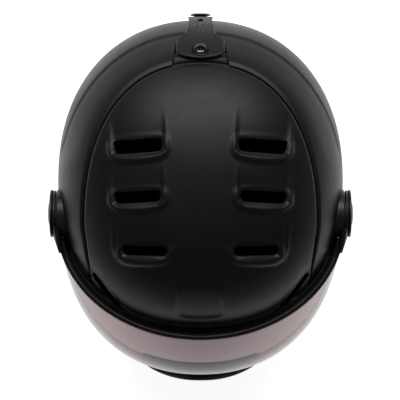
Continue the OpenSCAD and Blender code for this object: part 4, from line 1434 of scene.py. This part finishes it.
def buckle():
    """Magnetic buckle: a base that takes the pad's webbing, and a slider with grooves to grip it by."""
    base = rounded_block("buckle_body", (8, -9, 0.3), (34, 17, 9), 2.4, 0.9)
    cut(base, block((20, -12, 4.9), (36, 20, 10)), webbing_slot(7, 9.2), magnet_seat(3.4))
    give(base, "helmet", PLASTIC, "black_plastic", "buckle_base")
    slider = rounded_block("buckle_latch", (20.4, -8.6, 5.2), (50, 16.6, 11), 2.6, 1.0)
    foot = rounded_block("foot", (34.5, -8.6, 0.3), (50, 16.6, 6.6), 2.2, 0.8)
    combine(slider, foot, "UNION", 40)
    cut(slider, magnet_seat(4), webbing_slot(48.8, 51))
    for k in range(5):
        cut(slider, rod(0.9, (24, -4.2 + 4 * k, 11.2), (40, -4.2 + 4 * k, 11.2), 24))
    give(slider, "buckle", PLASTIC, "black_plastic", "buckle_slider")


# ---------- floor, lights and camera ----------

def studio():
    """White floor with a painted glow: it emits light in a pool round the helmet, which lights it from below
    and washes out its shadows, and glows at least moderately wherever the camera sees it; an even room and
    one softbox behind.
    """
    corners = [(-1, -1), (1, -1), (1, 1), (-1, 1)]
    floor = make_mesh("floor", [(4000 * x, 4000 * y, -0.05) for x, y in corners], [(0, 1, 2, 3)])
    paper = Finish("paper", (0.9, 0.9, 0.9), 0.9)
    paper.bump(paper.noise(900, 3), 0.02)
    away = paper.node("ShaderNodeVectorMath", operation="LENGTH")
    paper.link(paper.place, away.inputs[0])
    # Painted light: emission strength 0.9 within 0.28 m of the middle, fading out by 0.5 m, so the floor
    # lights the helmet and its shadows vanish.
    painted_glow_pool = paper.spread(away.outputs["Value"], 0.28, 0.5, 0.9, 0.02)
    seen_directly = paper.node("ShaderNodeLightPath").outputs["Is Camera Ray"]
    glow = paper.math("MAXIMUM", painted_glow_pool, paper.math("MULTIPLY", seen_directly, 0.65))
    paper.link(glow, paper.shader.inputs["Emission Strength"])
    paper.shader.inputs["Emission Color"].default_value = (1, 1, 1, 1)
    floor.data.materials.append(paper.material)
    scene = bpy.context.scene
    scene.view_settings.view_transform = "Standard"
    world = bpy.data.worlds.new("room")
    world.use_nodes = True
    background = world.node_tree.nodes["Background"]
    background.inputs["Color"].default_value = (0.97, 0.98, 1.0, 1)
    path = world.node_tree.nodes.new("ShaderNodeLightPath")
    seen = world.node_tree.nodes.new("ShaderNodeMapRange")
    seen.inputs["To Min"].default_value = 0.07
    seen.inputs["To Max"].default_value = 0.95
    world.node_tree.links.new(path.outputs["Is Camera Ray"], seen.inputs["Value"])
    world.node_tree.links.new(seen.outputs["Result"], background.inputs["Strength"])
    scene.world = world
    lamp("rear_softbox", (0, 1.2, 1.55), (0, 0, 0.1), 2.2, 0.8, 29)


def lamp(name, place, target, width, height, watts):
    data = bpy.data.lights.new(name, "AREA")
    data.shape = "RECTANGLE"
    data.size, data.size_y, data.energy = width, height, watts
    obj = in_scene(name, data)
    obj.location = place
    obj.rotation_mode = "QUATERNION"
    obj.rotation_quaternion = (Vector(target) - Vector(place)).to_track_quat("-Z", "Y")


def camera():
    """Straight above the helmet, with a long lens."""
    data = bpy.data.cameras.new("camera")
    data.sensor_width, data.lens, data.clip_end = 36, 219.5, 20
    obj = in_scene("camera", data)
    obj.location = (-0.0004, -0.002, 2.118)
    bpy.context.scene.camera = obj


camera()
studio()
upper_shell()
lower_shell()
liner()
rim_trim()
vent_filters()
retainer_plate()
rubber_strap()
retainer_hardware()
visor_lens()
visor_frame()
brow_gasket()
nose_guard()
pivots()
fit_system()
head_pads()
ear_pads()
chin_straps()
chin_cushion()
buckle()
